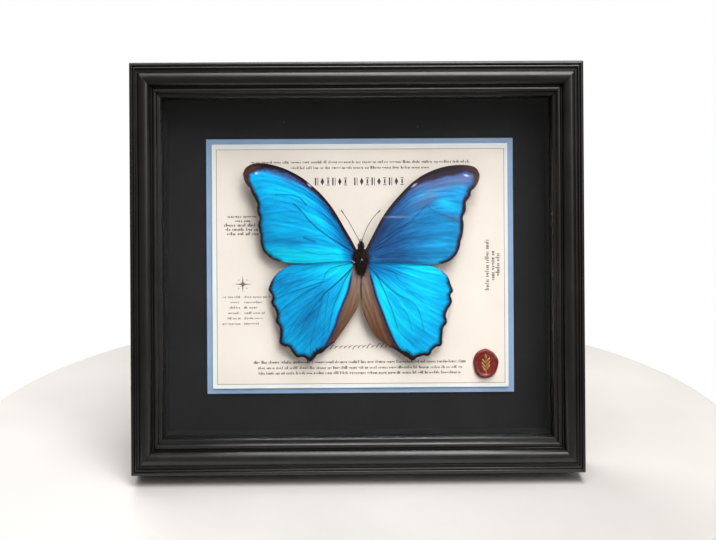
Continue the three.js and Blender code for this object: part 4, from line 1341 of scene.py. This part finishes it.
sunk = (  # radius, and distance below the top of the head, of a countersunk wood screw
    (0.02, 11.9), (0.7, 10.6), (1.15, 9.4), (1.15, 1.9), (2.6, 0.35), (2.68, 0.2), (2.55, 0.06), (2.0, 0.01),
    (0.02, 0.0),
)
wood_screw = screw_head([(r, REAR - 0.1 - below) for r, below in sunk])
inset = 10.6  # from the frame's outer face to the middle of a side rail's screw
x, z = FRAME_WIDTH / 2 - inset, FRAME_HEIGHT / 2 - inset * CROSS_SHARE
screws = {
    "top_1": (-70, z), "top_2": (70, z), "bottom_1": (-70, -z), "bottom_2": (70, -z),
    "left_1": (-x, 0), "right_1": (x, 0),
}
for index, (name, place) in enumerate(screws.items()):
    place_screw(f"board_screw_{name}", f"back_screw_{name}", wood_screw, *place, 0.7 * index + 0.3)

seat = HINGE_DEPTH - 1.2  # the rear face of the hinge's fixed leaf
domed = ((0.7, 0.0), (1.8, 0.0), (1.74, 0.35), (1.5, 0.68), (1.0, 0.9), (0.02, 0.97))
leaf_screw = screw_head([(0.02, 34.4), (0.7, 34.8), *((r, seat + high) for r, high in domed)], 28)
rivet = [
    (0.02, -1.88), (0.8, -1.88), (0.8, 2.4), (1.8, 2.4), (1.74, 2.72), (1.5, 2.96), (1.05, 3.12), (0.5, 3.19),
    (0.02, 3.2),
]
flat_head = (
    (0.02, -6.5), (0.55, -5.5), (0.55, 1.4), (1.6, 1.4), (1.6, 1.78), (1.45, 1.98), (0.9, 2.07), (0.02, 2.1),
)
nail = [(r, REAR + out) for r, out in flat_head]
for number, sign in ((1, -1), (2, 1)):
    x, turn = 8.5 * sign, 0.5 + 1.1 * (number - 1)
    place_screw(f"plate_screw_{number}", f"hinge_screw_{number}", leaf_screw, x, HINGE_PLACE.z + 10.5, turn)
    shape = Shape().turned(rivet, x, -10.5, 28)
    build(f"rivet_{number}", shape, [STRUT_STEEL], [f"strut_rivet_{number}"], "strut", STRUT, 40)
    shape = Shape().turned(nail, 18 * sign, FRAME_HEIGHT / 2 - 4.8)
    build(f"plate_nail_{number}", shape, [STEEL], [f"hanger_nail_{number}"], angle=40)

# ---- camera, table and light ---------------------------------------------------------------

IMAGE_WIDTH, IMAGE_HEIGHT = 716, 540
FOCAL_PIXELS = 1271.2
AXIS_BELOW_TOP = 191
SENSOR = 36
VIEWPOINT = Vector((-6.64, -696.96, 40.83))
PITCH, ROLL, YAW = (math.radians(a) for a in (-0.119, -0.334, 0.577))

camera = bpy.data.objects.new("camera", bpy.data.cameras.new("camera"))
scene.collection.objects.link(camera)
scene.camera = camera
camera.data.sensor_width = SENSOR
camera.data.lens = SENSOR * FOCAL_PIXELS / IMAGE_WIDTH
camera.data.shift_y = (AXIS_BELOW_TOP - IMAGE_HEIGHT / 2) / IMAGE_WIDTH
turn = Matrix.Rotation(ROLL, 3, "Y") @ Matrix.Rotation(PITCH, 3, "X") @ Matrix.Rotation(YAW, 3, "Z")
facing = Matrix.Rotation(-LEAN, 3, "X") @ turn.transposed() @ Matrix.Rotation(math.radians(90), 3, "X")
camera.matrix_world = Matrix.Translation(FACE @ VIEWPOINT) @ facing.to_4x4()
camera.data.clip_start, camera.data.clip_end = 0.05, 20

TABLE_MIDDLE, TABLE_RADIUS, TABLE_THICK = (-2, 39), 238.0, 24.0
profile = [(0.02, -TABLE_THICK), (TABLE_RADIUS - 5, -TABLE_THICK), (TABLE_RADIUS - 1, 1 - TABLE_THICK)]
profile += [(TABLE_RADIUS, 4 - TABLE_THICK), (TABLE_RADIUS, -4.0)]
for a in np.linspace(0.2, math.pi / 2, 8):  # the rounded upper edge
    profile.append((TABLE_RADIUS - 3 + 3 * math.cos(a), -3 + 3 * math.sin(a)))
profile.append((0.02, 0.0))
turns = np.linspace(0, 2 * np.pi, 192, endpoint=False)
cx, cy = TABLE_MIDDLE
table = Shape().rings([[(cx + r * math.cos(a), cy + r * math.sin(a), z) for a in turns] for r, z in profile])
mesh = bpy.data.meshes.new("tabletop")
mesh.from_pydata((np.array(table.points) * MM).tolist(), [], table.faces)
mesh.materials.append(tabletop())
face_outwards(mesh)
smooth(mesh, 40)
floor = bpy.data.objects.new("tabletop", mesh)
scene.collection.objects.link(floor)
floor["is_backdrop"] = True


def lamp(name, place, target, size, power):
    """A rectangular lamp that points at its target, in metres and watts."""
    light = bpy.data.lights.new(name, "AREA")
    light.shape, light.size, light.size_y = "RECTANGLE", *size
    light.energy = power
    made = bpy.data.objects.new(name, light)
    scene.collection.objects.link(made)
    made.location = place
    made.rotation_mode = "QUATERNION"
    made.rotation_quaternion = (Vector(target) - Vector(place)).to_track_quat("-Z", "Y")


lamp("key", (0.92, -1.15, 0.75), (0, 0, 0.1), (0.6, 0.6), 3.9)
lamp("overhead", (0.2, -0.5, 1.35), (0.05, -0.05, 0.05), (0.6, 1.35), 22.5)
lamp("rear", (-0.5, 0.75, 0.95), (-0.12, 0.1, 0), (0.8, 0.8), 9)

world = bpy.data.worlds.new("studio")  # white where the camera looks, dim and warm as a light
scene.world = world
world.use_nodes = True
tree = world.node_tree
seen, dim = tree.nodes["Background"], tree.nodes.new("ShaderNodeBackground")
for node, colour, strength in ((seen, (1, 1, 1, 1), 1.0), (dim, (1, 0.95, 0.89, 1), 0.2)):
    node.inputs["Color"].default_value, node.inputs["Strength"].default_value = colour, strength
path = tree.nodes.new("ShaderNodeLightPath")
mixed = tree.nodes.new("ShaderNodeMixShader")
tree.links.new(path.outputs["Is Camera Ray"], mixed.inputs[0])
tree.links.new(dim.outputs[0], mixed.inputs[1])
tree.links.new(seen.outputs[0], mixed.inputs[2])
tree.links.new(mixed.outputs[0], tree.nodes["World Output"].inputs["Surface"])

low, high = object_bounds()
